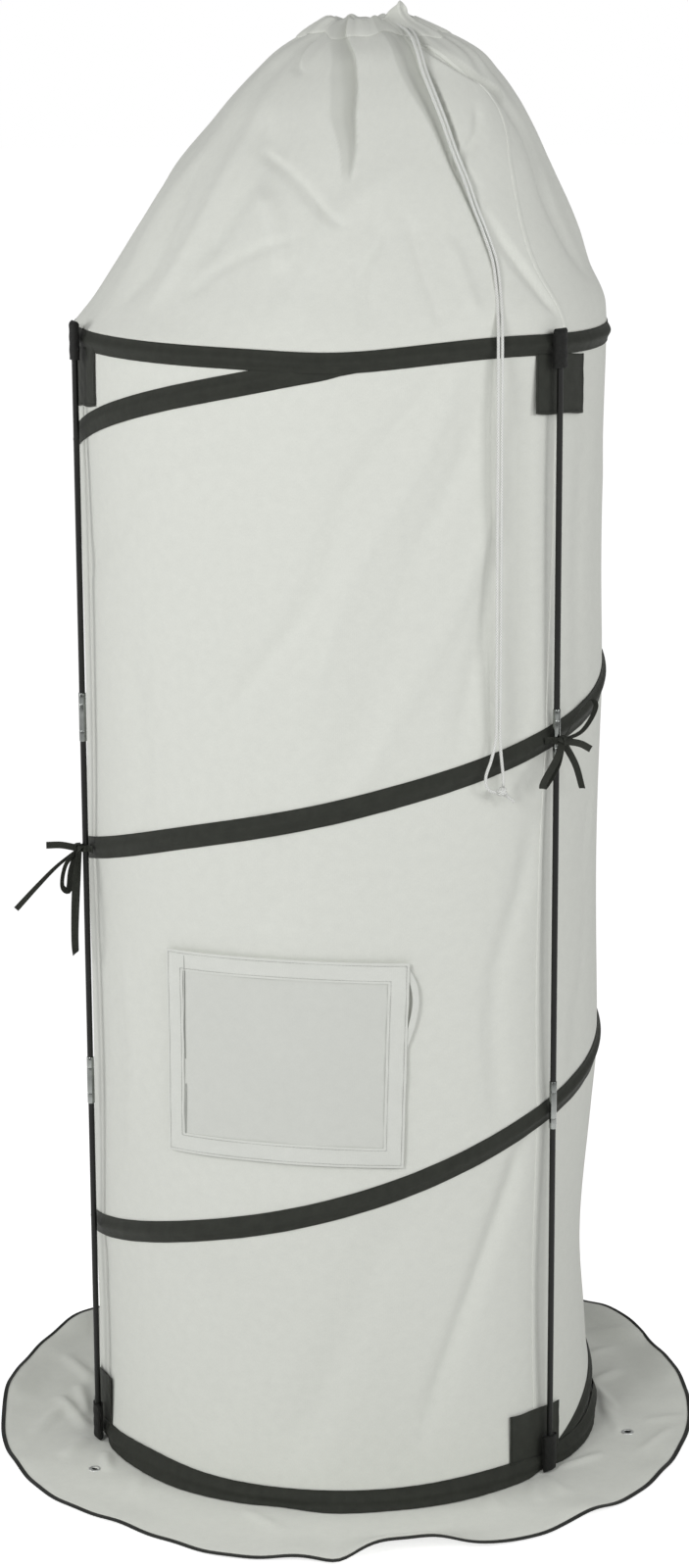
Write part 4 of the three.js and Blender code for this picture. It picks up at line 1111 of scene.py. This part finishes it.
# Each patch's middle and half width in degrees, and how much higher its right side is
CAP_PATCHES = {"left": (-70.5, 6.8, 8 * MM), "right": (53, 8.8, -9 * MM), "rear": (169.5, 9.4, 0)}
CAP_PATCH_SPAN = (1436 * MM, 1512 * MM)
BOOT_PATCHES = {"left": (-73.5, 6.4, 10 * MM), "right": (47.3, 8.4, -7 * MM), "rear": (169.5, 8.6, 0)}
BOOT_PATCH_SPAN = (24 * MM, 94 * MM)

for side in SIDES:
    make_patch(f"cap_patch_{side}", f"upper_patch_{side}", "top", *CAP_PATCHES[side], *CAP_PATCH_SPAN)
    make_patch(f"boot_patch_{side}", f"lower_patch_{side}", "base", *BOOT_PATCHES[side], *BOOT_PATCH_SPAN)


# Poles
def pole_foot(side):
    x, y, _ = round_at(POLE_ANGLES[side], POLE_RADII[side], 0)
    return float(x), float(y)


ROD_RADIUS = 4 * MM
ROD_BORE = 2.3 * MM
ROD_BEVEL = 0.7 * MM
TIP_LENGTH = 14 * MM
JOINT_GAP = 0.15 * MM
FERRULE_HALF = 32.5 * MM
FERRULE_BORE = 4.3 * MM
FERRULE_RADIUS = 4.9 * MM
# One half of the ferrule's outline with its crimp line: how far in from the outside and how far
# from its middle, in millimetres
FERRULE_CRIMP = [(0, 17), (0.35, 18), (0, 19)]


def make_pole(side):
    x, y = pole_foot(side)
    body = f"pole_{side}"
    ends = [FOOT_HEIGHT, FOOT_HEIGHT + SECTION, FOOT_HEIGHT + 2 * SECTION, POLE_TOP]
    for k, name in enumerate(("lower", "middle", "upper")):
        bottom = ends[k] + (TIP_LENGTH if k == 0 else JOINT_GAP)
        top = ends[k + 1] - (TIP_LENGTH if k == 2 else JOINT_GAP)
        profile = [
            (ROD_BORE, bottom), (ROD_RADIUS - ROD_BEVEL, bottom), (ROD_RADIUS, bottom + ROD_BEVEL),
            (ROD_RADIUS, top - ROD_BEVEL), (ROD_RADIUS - ROD_BEVEL, top), (ROD_BORE, top),
        ]
        rod = turned(f"{body}_{name}_tube", profile, (x, y, 0))
        complete(rod, ROD_BLACK, body, f"{body}_{name}_rod")
    outline = [
        *[(FERRULE_RADIUS - inset * MM, away * MM) for inset, away in FERRULE_CRIMP],
        (FERRULE_RADIUS, FERRULE_HALF - 0.8 * MM), (FERRULE_RADIUS - 0.4 * MM, FERRULE_HALF),
        (FERRULE_BORE, FERRULE_HALF),
    ]
    for middle, name in zip(ends[1:3], ("lower", "upper")):
        profile = [(radius, middle - away) for radius, away in reversed(outline)]
        profile += [(radius, middle + away) for radius, away in outline]
        ferrule = turned(f"{body}_{name}_sleeve", profile, (x, y, 0))
        complete(ferrule, PLATED_STEEL, body, f"{body}_{name}_ferrule")
    for node, finish in (("shock_cord", ELASTIC), ("foot_tip", TIP_PLASTIC), ("top_tip", TIP_PLASTIC)):
        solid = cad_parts[f"{body}_{node}"]
        for slot in solid.material_slots:
            slot.material = finish


# The webbing pockets over the poles' tops and feet, each from its open end to its closed one
POCKET_WIDTH = 24 * MM
POCKET_DEPTH = 6.4 * MM
POCKET_CUT = (60 * MM, 56 * MM)
CAP_SPAN = (1497 * MM, 1546.5 * MM)
BOOT_SPAN = (55 * MM, 3.5 * MM)


def pocket_shape(side, open_end, closed_end):
    """A flat fold of webbing round the pole, rounded over its closed end."""
    angle = POLE_ANGLES[side] * DEGREE
    x0, y0 = pole_foot(side)
    run = closed_end - open_end
    way = 1 if run > 0 else -1
    length = abs(run)

    def shape(u, v):
        turn = 2 * np.pi * u
        along = length * v
        over = np.clip((along - (length - POCKET_DEPTH)) / POCKET_DEPTH, 0, 1)
        swell = np.maximum(np.sqrt(np.maximum(0, 1 - over**2)), 0.02)
        flare = 1 + 0.05 * (1 - v) ** 2
        cos, sin = np.cos(turn), np.sin(turn)
        across = POCKET_WIDTH / 2 * np.sign(cos) * np.abs(cos) ** 0.45 * flare
        out = POCKET_DEPTH * np.sign(sin) * np.abs(sin) ** 0.75 * swell
        out = out * (0.72 + 0.28 * np.exp(-((across / (6 * MM)) ** 2)))
        crumple = 0.25 * MM * np.sin(v * 19 + u * 12)
        out = out + crumple * np.sign(out)
        z = open_end + way * along
        return (
            x0 + across * math.cos(angle) + out * math.sin(angle),
            y0 + across * math.sin(angle) - out * math.cos(angle),
            z,
        )

    return shape


def make_pockets(side):
    for name, body, span in (("cap", "top", CAP_SPAN), ("boot", f"pole_{side}", BOOT_SPAN)):
        shape = pocket_shape(side, *span)
        pocket = drape(f"{name}_pocket_{side}", 48, 28, shape, POCKET_CUT, closed=True)
        close_ends(pocket)
        complete(pocket, POCKET_WEBBING, body, f"pole_{side}_{name}")


for side in SIDES:
    make_pole(side)
    make_pockets(side)


# Tape ties that hold the poles to the spiral
TIE_WIDTH = 9 * MM
TIE_REACH = 100 * MM
STRAP_THICK = 0.8 * MM
WRAP_WIDTH = 7 * MM
WRAP_THICK = 1.2 * MM
TAIL_THICK = 0.7 * MM
KNOT_OUT = -9.7 * MM
# The strap round the pole and the knot's windings, each point in millimetres from the pole or the
# knot: right, backwards and up
TIE_STRAP = [
    (-17, 5.2), (-11.5, 5.2), (-5.9, 2.6), (-5.9, -3), (-3, -5.9),
    (3, -5.9), (5.9, -3), (5.9, 2.6), (11.5, 5.2), (17, 5.2),
]
KNOT_WRAPS = [
    [(-6, 2, -3), (-3, -1.5, -4.5), (3, -2.5, -1), (6, 0.5, 3), (2, 3.5, 4)],
    [(6, 2, -3.5), (2.5, -2.8, -3), (-3, -3.2, 1.5), (-6, 0, 4), (-2, 3.5, 4.5)],
    [(0.5, 3, 6), (0, -3.8, 5), (0.4, -4.6, 0), (0, -3.8, -5), (0.5, 3, -6)],
]
# The tails and loops, as shares of the reach: right, forwards and up
SIDE_TIES = [
    [[0, 0, 0], [-0.06, 0.22, 0.05], [-0.08, 0.42, 0.06]],
    [[0, 0, 0], [-0.04, 0.3, -0.23], [-0.05, 0.58, -0.49], [-0.06, 0.86, -0.77]],
    [[0, 0, 0], [0.05, 0.2, -0.2], [0.06, 0.25, -0.5], [0.02, 0.16, -0.56], [-0.02, 0.1, -0.3], [0, 0, 0]],
    [[0, 0, 0], [0.1, 0.1, -0.5], [0.1, 0.12, -1.3], [0.02, 0.08, -1.44], [-0.05, 0.06, -1.2], [0, 0, 0]],
]
FRONT_TIES = [
    [[0, 0, 0], [0.16, 0.16, -0.04], [0.31, 0.22, -0.13]],
    [[0, 0, 0], [0.13, 0.11, -0.31], [0.25, 0.14, -0.65]],
    [[0, 0, 0], [-0.22, 0.09, -0.16], [-0.52, 0.09, -0.46], [-0.49, 0.06, -0.53], [-0.2, 0.06, -0.3],
     [0, 0, 0]],
    [[0, 0, 0], [0.22, 0.16, 0.12], [0.42, 0.22, 0.44], [0.36, 0.18, 0.52], [0.14, 0.1, 0.3], [0, 0, 0]],
]
# How squarely each tail turns its flat side to the front, for the other ties and for the left one
TIE_FACING = ((1, 1, 0.95, 0.45), (1, 0.2, 0.45, 0.4))
TIE_TWISTS = (0.15, 0.6, -0.2, 0.35)
TIE_HEIGHTS = {"left": 848 * MM, "right": 1018 * MM, "rear": 673 * MM}


def make_tie(side):
    angle = POLE_ANGLES[side] * DEGREE
    x0, y0 = pole_foot(side)
    height = TIE_HEIGHTS[side]

    def at_pole(x, y, z):
        return (
            x0 + x * math.cos(angle) - y * math.sin(angle),
            y0 + x * math.sin(angle) + y * math.cos(angle),
            height + z,
        )

    round_pole = [at_pole(x * MM, y * MM, 0) for x, y in TIE_STRAP]
    parts = [ribbon("strap", round_pole, TIE_WIDTH, 60, STRAP_THICK)]
    # The knot: tape wound over itself, flat and a little slanted, and once round it all
    slanted = (math.sin(angle) * 0.3, -math.cos(angle) * 0.3, 1)
    sideways = (math.cos(angle), math.sin(angle), 0)
    for wrap, lay in zip(KNOT_WRAPS, (slanted, slanted, sideways)):
        route = [at_pole(x * MM, KNOT_OUT + y * MM, z * MM) for x, y, z in wrap]
        parts.append(ribbon("knot_wrap", route, WRAP_WIDTH, 28, WRAP_THICK, across=lay, curl=0.6 * MM))
    for k, shares in enumerate(SIDE_TIES if side == "left" else FRONT_TIES):
        route = [at_pole(x * TIE_REACH, KNOT_OUT - y * TIE_REACH, z * TIE_REACH) for x, y, z in shares]
        facing = TIE_FACING[side == "left"][k]
        way = np.subtract(route[1], route[0])
        forward = np.array([0.15, 0.97, -0.2])
        flat_on = np.cross(way, forward)
        lay = facing * flat_on / np.linalg.norm(flat_on) + math.sqrt(1 - facing**2) * forward
        parts.append(ribbon(
            "tail", route, TIE_WIDTH, 44, TAIL_THICK, across=lay, curl=0.5 * MM, twist=TIE_TWISTS[k],
        ))
    tie = join(f"tape_tie_{side}", parts)
    complete(tie, BLACK_TAPE, "base", f"pole_tie_{side}", SPIRAL_KEEP)


for side in SIDES:
    make_tie(side)


# Hatch: a flap closed onto a tape frame round the hole
def degrees_for(length):
    return length / WALL_RADIUS / DEGREE


def hatch_place(u, v):
    """How the hatch was sewn on a little askew: degrees sideways and a length upwards."""
    return -1.4 * u * (1 - v), 6 * MM * np.sin(np.pi * u)


def flap_stand(u, v):
    """How far the flap stands off the wall: pressed down at the left, loose along the right edge."""
    loose = 1.6 * MM * smooth_step((u - 0.8) / 0.2) * (0.6 + 0.4 * np.sin(v * 17))
    return 1.9 * MM + loose + 0.5 * MM * np.sin(u * 7 + 1) * np.sin(v * 9)


def framed(name, left, right, bottom, top, edge, columns, rows, stand, thickness):
    """A flat frame of tape on the wall: a sheet with its middle left out."""
    def shape(u, v):
        turn, lift = hatch_place(u, v)
        angle = left + (right - left) * u + turn
        z = bottom + (top - bottom) * v + lift
        return round_at(angle, WALL_RADIUS + stand(u, v), z)

    width = (right - left) * DEGREE * WALL_RADIUS

    def inside(u, v):
        across = np.minimum(u, 1 - u) * width
        upwards = np.minimum(v, 1 - v) * (top - bottom)
        return (across > edge) & (upwards > edge)

    frame = drape(name, columns, rows, shape, (width, top - bottom), gaps=inside)
    thicken(frame, thickness)
    bpy.ops.object.shade_smooth_by_angle(angle=40 * DEGREE)
    return frame


# A loose end of the loop tape that has curled up beside the right edge: angle, height and how far
# it stands off the wall, in millimetres
LOOSE_TAPE = [
    (13, 741, 0.8), (13.9, 733, 1), (14.9, 718, 1.4), (15.2, 698, 1.6), (14.7, 676, 1.4), (13.7, 655, 1),
    (12.8, 640, 0.8),
]
LOOSE_WIDTH = 9 * MM
# The two runs of the dark line along the left strip's inner edge, a grey thread of painted shade for its
# slit, in millimetres from the top
SLIT_RUNS = ((6, 146), (180, 248))
SLIT_INSET = 29.6 * MM
HATCH_WIDTH = (HATCH_RIGHT - HATCH_LEFT) * DEGREE * WALL_RADIUS
HATCH_HEIGHT = HATCH_TOP - HATCH_BOTTOM
LOOP_MARGIN = 5 * MM
LOOP_EDGE = 20 * MM
SEAM_INSETS = (3.5 * MM, 23.5 * MM)
SEAM_PITCH = 4.5 * MM


def make_loop_frame():
    room = degrees_for(LOOP_MARGIN)
    loops = framed(
        "hatch_loop_tape", HATCH_LEFT + room, HATCH_RIGHT - room, HATCH_BOTTOM + LOOP_MARGIN,
        HATCH_TOP - LOOP_MARGIN, LOOP_EDGE, 80, 66, lambda u, v: 0.9 * MM + 0 * u, FLAP_THICK,
    )
    complete(loops, HATCH_TAPE, "base", "hatch_loop_frame", WALL_KEEP)


def make_flap():
    def shape(u, v):
        turn, lift = hatch_place(u, v)
        angle = HATCH_LEFT + (HATCH_RIGHT - HATCH_LEFT) * u + turn
        z = HATCH_BOTTOM + HATCH_HEIGHT * v + lift
        sag = 1.4 * MM * np.sin(np.pi * u) * np.sin(np.pi * v)
        fold = 0.9 * MM * np.sin(u * 21 + v * 9) * np.sin(np.pi * u) * np.sin(np.pi * v)
        return round_at(angle, WALL_RADIUS + flap_stand(u, v) - sag + fold, z)

    flap = drape("hatch_flap_cloth", 90, 76, shape, (HATCH_WIDTH, HATCH_HEIGHT))
    thicken(flap, FLAP_THICK)
    complete(flap, HATCH_CLOTH, "hatch_flap", "hatch_panel", WALL_KEEP)
    return flap


def make_border():
    def stand(u, v):
        return flap_stand(u, v) + 0.8 * MM + 0.35 * MM * np.sin(v * 31 + u * 13)

    border = framed(
        "hatch_sewn_border", HATCH_LEFT, HATCH_RIGHT, HATCH_BOTTOM, HATCH_TOP, HATCH_EDGE, 110, 92,
        stand, TAPE_THICK,
    )
    complete(border, HATCH_TAPE, "hatch_flap", "hatch_border", WALL_KEEP)
    return border


def on_flap(x, z, stand):
    """A place on the flap's face, x and z counted along it from its lower left corner."""
    u, v = x / HATCH_WIDTH, z / HATCH_HEIGHT
    turn, lift = hatch_place(u, v)
    radius = WALL_RADIUS + (flap_stand(u, v) + stand)
    return round_at(HATCH_LEFT + degrees_for(x) + turn, radius, HATCH_BOTTOM + z + lift)


def make_hatch_stitches():
    rows = []
    for inset in SEAM_INSETS:
        right, top = HATCH_WIDTH - inset, HATCH_HEIGHT - inset
        corners = [(inset, inset), (right, inset), (right, top), (inset, top), (inset, inset)]
        rows += sewn_along(corners, 24, lambda x, z: on_flap(x, z, 1.2 * MM), SEAM_PITCH)
    thread = join("hatch_stitching", rows)
    complete(thread, THREAD, "hatch_flap", keep=WALL_KEEP)
    return thread


def make_slit():
    # A thin grey thread of painted shade stands for the shadowed slit
    slits = []
    for high, low in SLIT_RUNS:
        drop = np.linspace(high, low, 12) * MM
        x = SLIT_INSET + 0.7 * MM * np.sin(drop * 40)
        route = np.stack(on_flap(x, HATCH_HEIGHT - drop, 0.5 * MM), axis=1)
        slits.append(tube("slit", route, 0.45 * MM, 6, 60))
    slit = join("hatch_slit_shade", slits)
    complete(slit, SLIT_SHADE, "hatch_flap", keep=WALL_KEEP)
    return slit


def make_loose_tape():
    route = [round_at(angle, WALL_RADIUS + stand * MM, z * MM) for angle, z, stand in LOOSE_TAPE]
    loose = ribbon(
        "hatch_loose_tape", route, LOOSE_WIDTH, 60, 0.4 * MM, across=(1, 0.2, 0.3), curl=0.3 * MM,
    )
    complete(loose, HATCH_TAPE, "base", keep=WALL_KEEP)


def make_hatch():
    make_loop_frame()
    flap = make_flap()
    border = make_border()
    thread = make_hatch_stitches()
    slit = make_slit()
    make_loose_tape()


make_hatch()


# Hood: its outline by height, as shares of the wall's radius and of its sideways lean
HOOD_SEAM = 1535.3 * MM
HOOD_ROWS = [
    (0, 1, 0), (0.07, 0.965, 0.17), (0.2, 0.885, 0.29), (0.33, 0.81, 0.38), (0.457, 0.733, 0.48),
    (0.56, 0.663, 0.6), (0.657, 0.591, 0.73), (0.75, 0.52, 0.83), (0.834, 0.44, 0.92), (0.925, 0.334, 1),
    (0.966, 0.251, 0.96), (1, 0.154, 0.79),
]
hood_radius = smooth_table([(share, radius) for share, radius, _ in HOOD_ROWS])
hood_lean = smooth_table([(share, lean) for share, _, lean in HOOD_ROWS])
# Sharp pleats that run down from the gathered mouth, each row (share of the height, angle of the
# bottom, width of the left slope, width of the right slope, depth), lengths in millimetres
HOOD_PLEATS = [
    [(0.5, -4.5, 6, 5, 0), (0.6, -4.8, 16, 6, 9), (0.71, -7.5, 30, 6, 17), (0.83, -11, 34, 6, 19),
     (0.915, -19, 28, 6, 16), (0.975, -34, 20, 6, 12), (1.02, -44, 16, 6, 9)],
    [(0.2, 35, 6, 6, 0), (0.3, 34.5, 8, 6, 4), (0.42, 33, 12, 7, 7), (0.55, 31, 19, 7, 12),
     (0.68, 29.3, 29, 6, 18), (0.79, 26.5, 38, 6, 20), (0.89, 22.5, 36, 6, 17), (0.965, 21, 28, 6, 12),
     (1.02, 20, 22, 6, 9)],
    [(0.04, 52, 8, 10, 0), (0.1, 49, 20, 10, 6), (0.2, 45, 26, 10, 8), (0.3, 40, 22, 10, 7),
     (0.42, 35.5, 8, 8, 0)],
    [(0.72, 64, 8, 10, 0), (0.78, 62, 10, 22, 8), (0.83, 49, 8, 24, 12), (0.88, 37, 7, 24, 13),
     (0.93, 27, 6, 22, 11), (0.98, 22, 6, 18, 8), (1.02, 20, 6, 16, 6)],
]
# How strongly each pleat's painted shade darkens its cloth
PLEAT_SHADE_LEVELS = (0.6, 0.85, 0.0, 0.7)
# Softer folds, each a route of (angle, share of the height), a depth and a half width in millimetres
HOOD_FOLDS = [
    ([(-44, 0.74), (-38, 0.65), (-34, 0.6), (-33, 0.52), (-36, 0.4), (-38.5, 0.3), (-42, 0.2)], 6, 17),
    ([(-76, 1.1), (-73.9, 0.912), (-64.2, 0.687), (-66.5, 0.46), (-64.6, 0.059), (-64, 0.0)], -6, 26),
    ([(-56, 0.9), (-47, 0.695), (-45, 0.477), (-47, 0.206), (-49, 0.112), (-50, 0.05)], -7, 17),
    ([(-38, 0.62), (-34, 0.585), (-25.5, 0.545), (-15.5, 0.475), (-8.5, 0.41), (-3, 0.36)], 6, 7),
    ([(-30, 0.5), (-24, 0.42), (-18.5, 0.3), (-17, 0.22)], -6, 12),
    ([(-14, 0.36), (-24, 0.3), (-33, 0.235), (-37, 0.18), (-39, 0.12)], 3, 10),
    ([(8, 0.6), (2, 0.5), (-6, 0.4), (-11, 0.25), (-13, 0.12), (-14, 0.04)], -5, 20),
    ([(13, 0.42), (15.5, 0.295), (17.5, 0.185), (20.0, 0.055), (21, 0.0)], 4.5, 8),
    ([(4, 0.42), (6, 0.33), (2.5, 0.24), (3.5, 0.12), (4, 0.04)], 3.5, 8),
    ([(24, 0.34), (26, 0.2), (28, 0.06)], -4, 10),
    ([(46, 0.76), (38, 0.62), (31, 0.565), (34, 0.48), (35, 0.42)], 5, 9),
    ([(60, 0.82), (71, 0.655), (66.5, 0.445), (69.5, 0.25), (74, 0.12)], 7, 16),
    ([(-60, 0.97), (-52, 0.9), (-46, 0.86), (-38, 0.83)], 6, 6),
    ([(-66, 0.6), (-58, 0.4), (-56, 0.2), (-60, 0.06)], 4, 14),
]


def gathers():
    """Irregular pleats where the cord draws the mouth together."""
    chance = np.random.default_rng(5)
    made = []
    count = 23
    for k in range(count):
        centre = 360 * (k + chance.uniform(-0.28, 0.28)) / count
        half = chance.uniform(4.2, 6.6)
        size = chance.uniform(0.55, 1.25)
        made.append((centre, half, size, chance.uniform(0.62, 0.86)))
    return made


def back_hood_folds():
    """Softer folds round the sides of the hood that the photograph doesn't show."""
    chance = np.random.default_rng(23)
    made = []
    for k in range(17):
        start = 92 + k * 10.4 + chance.uniform(-3, 3)
        top = chance.uniform(0.75, 1.1)
        foot = chance.uniform(0.1, 0.45)
        drift = chance.uniform(-13, 13)
        depth = (1 if k % 2 else -1) * chance.uniform(3, 7.5)
        route = [(start, top), (start + drift * 0.5, (top + foot) / 2), (start + drift, foot)]
        made.append((route, depth, chance.uniform(13, 24)))
    return made


def gather_depth(angle, share):
    depth = np.zeros(np.broadcast(angle, share).shape)
    for centre, half, size, start in gathers():
        growth = smooth_step((share - start) / (1 - start)) ** 1.3
        depth = depth + 6.5 * MM * size * bump(angle, centre, half) * growth
    return depth - 3.2 * MM * smooth_step((share - 0.7) / 0.3)


def hood_pleats(angle, share):
    """How far the sharp pleats draw the hood in, and how strongly painted shade darkens its cloth."""
    depth = 0
    pleat_shade = 0
    for rows, tone in zip(HOOD_PLEATS, PLEAT_SHADE_LEVELS):
        placed = [(*row[:2], *[length * MM for length in row[2:]]) for row in rows]
        one_depth, one_pleat_shade = pleat(angle, share, placed, hood_radius(share) * WALL_RADIUS)
        depth = np.maximum(depth, one_depth)
        pleat_shade = np.maximum(pleat_shade, tone * one_pleat_shade)
    return depth, pleat_shade


def hood_relief(angle, share):
    radius = hood_radius(share) * WALL_RADIUS
    relief = gather_depth(angle, share) + hood_pleats(angle, share)[0]
    for route, depth, half in HOOD_FOLDS + back_hood_folds():
        narrow = np.clip(radius / 0.16, 0.45, 1)
        relief = relief + crease(
            angle, share, route, depth * MM, half * MM * narrow, radius, HOOD_HEIGHT * 1.25,
        )
    drift = 1.1 * MM * np.sin(7 * angle * DEGREE + 9 * share) * np.sin(11 * share + 0.6)
    return (relief + drift) * smooth_step(share / 0.09)


def hood_point(angle, share, stand=0.0):
    lean = hood_lean(share) * HOOD_LEAN
    radius = hood_radius(share) * WALL_RADIUS - hood_relief(angle, share)
    z = HOOD_SEAM + HOOD_HEIGHT * share + ring_warp(angle) * (1 - share) ** 2
    return round_at(angle, radius + stand, z, lean)


def make_hood():
    # The columns lie closer together at the front, where the folds are sharp
    def angle_at(u):
        return 360 * (u - 0.5) - 24 * np.sin(2 * np.pi * (u - 0.5))

    def shape(u, v):
        return hood_point(angle_at(u), v)

    def flat_place(u, v):
        return angle_at(u) * DEGREE * WALL_RADIUS, HOOD_SLANT * v

    # The pleats' painted shade goes onto the hood as its darkening attribute
    hood = drape(
        "hood_cloth", 330, 144, shape, flat_place, closed=True,
        pleat_shade=lambda u, v: hood_pleats(angle_at(u), v)[1],
    )
    thicken(hood, CLOTH_THICK)
    complete_hood(hood, CLOTH, "hood")
    return hood


def make_hood_seam():
    centre_of = smooth_table([
        (0.939, 31), (0.774, 56.8), (0.54, 51.8), (0.27, 48.1), (0.029, 53.9), (0.0, 54.5),
    ])

    def shape(u, v):
        share = 0.004 + 0.93 * v
        radius = hood_radius(share) * WALL_RADIUS
        angle = centre_of(share) + (u - 0.5) * SEAM_WIDTH / radius / DEGREE
        return hood_point(angle, share, 0.8 * MM * (1 - (2 * u - 1) ** 6))

    seam = drape("hood_seam", 8, 150, shape, (SEAM_WIDTH, 0.46))
    thicken(seam, TAPE_THICK)
    complete_hood(seam, CLOTH)


MOUTH_RADIUS = 55 * MM
THROAT_RADIUS = 15 * MM
MOUTH_SHARE = 0.985


def make_gather():
    """The cord's channel: the hood's edge turned over, sewn down and drawn up into ruffles. It runs
    up outside the hood in the first half of v and turns in over the cord in the second."""
    def shape(u, v):
        angle = -180 + 360 * u
        outside = smooth_step(v / 0.5)
        inside = smooth_step((v - 0.55) / 0.45)
        low = 0.962 + 0.009 * np.sin(5 * angle * DEGREE + 1) + 0.005 * np.sin(12 * angle * DEGREE)
        share = low + (1 - low) * outside
        drawn_in = hood_relief(angle, low + (0.99 - low) * outside)
        mouth = MOUTH_RADIUS - drawn_in
        base = hood_radius(share) * WALL_RADIUS
        channel = 3.2 * MM * np.sin(np.pi * np.clip(v / 0.55, 0, 1))
        stand = 0.25 * MM + 0.95 * MM * smooth_step(v / 0.2)
        radius = np.where(v < 0.5, base - drawn_in + stand + channel, mouth + stand)
        radius = radius + (THROAT_RADIUS - radius) * inside
        lean = hood_lean(share) * HOOD_LEAN
        ruffle = 2.2 * MM * np.sin(9 * angle * DEGREE + 1) + 1.5 * MM * np.sin(16 * angle * DEGREE)
        # One fold stands up at the right like an ear
        ear = 21 * MM * bump(angle, 42, 15) * np.exp(-(((v - 0.6) / 0.16) ** 2))
        z = (
            HOOD_SEAM + HOOD_HEIGHT * low
            + (HOOD_HEIGHT * (0.972 - low) + 17 * MM) * outside
            + ruffle * np.exp(-(((v - 0.52) / 0.2) ** 2))
            - 9 * MM * inside + ear
        )
        return round_at(angle, radius, z, lean)

    # The pleats' painted shade at the mouth goes onto the gather as its darkening attribute
    gather = drape(
        "hood_gather", 320, 30, shape, (GIRTH, 60 * MM), closed=True,
        pleat_shade=lambda u, v: hood_pleats(-180 + 360 * u, MOUTH_SHARE)[1],
    )
    thicken(gather, PATCH_THICK, even=False)
    complete_hood(gather, CLOTH, "hood_hem")
    return gather


def make_channel_cord():
    """The cord's hidden run inside the gathered hem, open where the two strands come out."""
    height = 1918.7 * MM
    radius = 32 * MM
    lean = 0.79 * HOOD_LEAN
    route = [round_at(angle, radius, height, lean) for angle in range(60, 403, 9)]
    cord = tube("channel_cord", route, CORD_RADIUS, 10, 150)
    complete_hood(cord, WHITE_CORD, "hem_cord")


hood_cloth = make_hood()
make_hood_seam()
gather_cloth = make_gather()
make_channel_cord()


# Stage and light
AIM_HEIGHT = 1.0


def make_stage():
    bpy.ops.object.select_all(action="DESELECT")
    bpy.ops.mesh.primitive_plane_add(size=60, location=(0, 0, -0.5 * MM))
    floor = bpy.context.object
    floor.name = "stage_floor"
    floor.data.materials.append(pale_stage("stage_white", (0.8, 0.8, 0.8, 1)))
    world = bpy.data.worlds.new("studio")
    world.use_nodes = True
    tree = world.node_tree
    background = tree.nodes["Background"]
    path = tree.nodes.new("ShaderNodeLightPath")
    seen = tree.nodes.new("ShaderNodeMath")
    seen.operation = "MAXIMUM"
    tree.links.new(path.outputs["Is Camera Ray"], seen.inputs[0])
    tree.links.new(path.outputs["Is Transmission Ray"], seen.inputs[1])
    strength = tree.nodes.new("ShaderNodeMapRange")
    strength.inputs[3].default_value = 0.3
    strength.inputs[4].default_value = 1.0
    tree.links.new(seen.outputs[0], strength.inputs[0])
    tree.links.new(strength.outputs[0], background.inputs["Strength"])
    background.inputs["Color"].default_value = (1, 1, 1, 1)
    bpy.context.scene.world = world


def soft_light(name, place, size, power):
    """A square lamp of a size in metres and a power in watts, turned to the cylinder's middle."""
    bpy.ops.object.light_add(type="AREA", location=place)
    lamp = bpy.context.object
    lamp.name = name
    lamp.data.size = size
    lamp.data.energy = power
    x, y, z = place
    tip = math.atan2(math.hypot(x, y), z - AIM_HEIGHT)
    lamp.rotation_euler = (tip, 0, math.atan2(y, x) + math.pi / 2)


make_stage()
soft_light("key_light", (-1.7, -3.6, 2.6), 0.9, 56)
soft_light("left_light", (-4.24, -0.75, 1.9), 1.6, 47)
soft_light("fill_light", (2.04, -3.53, 2.4), 1.6, 25)
soft_light("right_light", (3.6, -2.0, 2.4), 1.6, 41)

bpy.context.scene.view_settings.view_transform = "Standard"
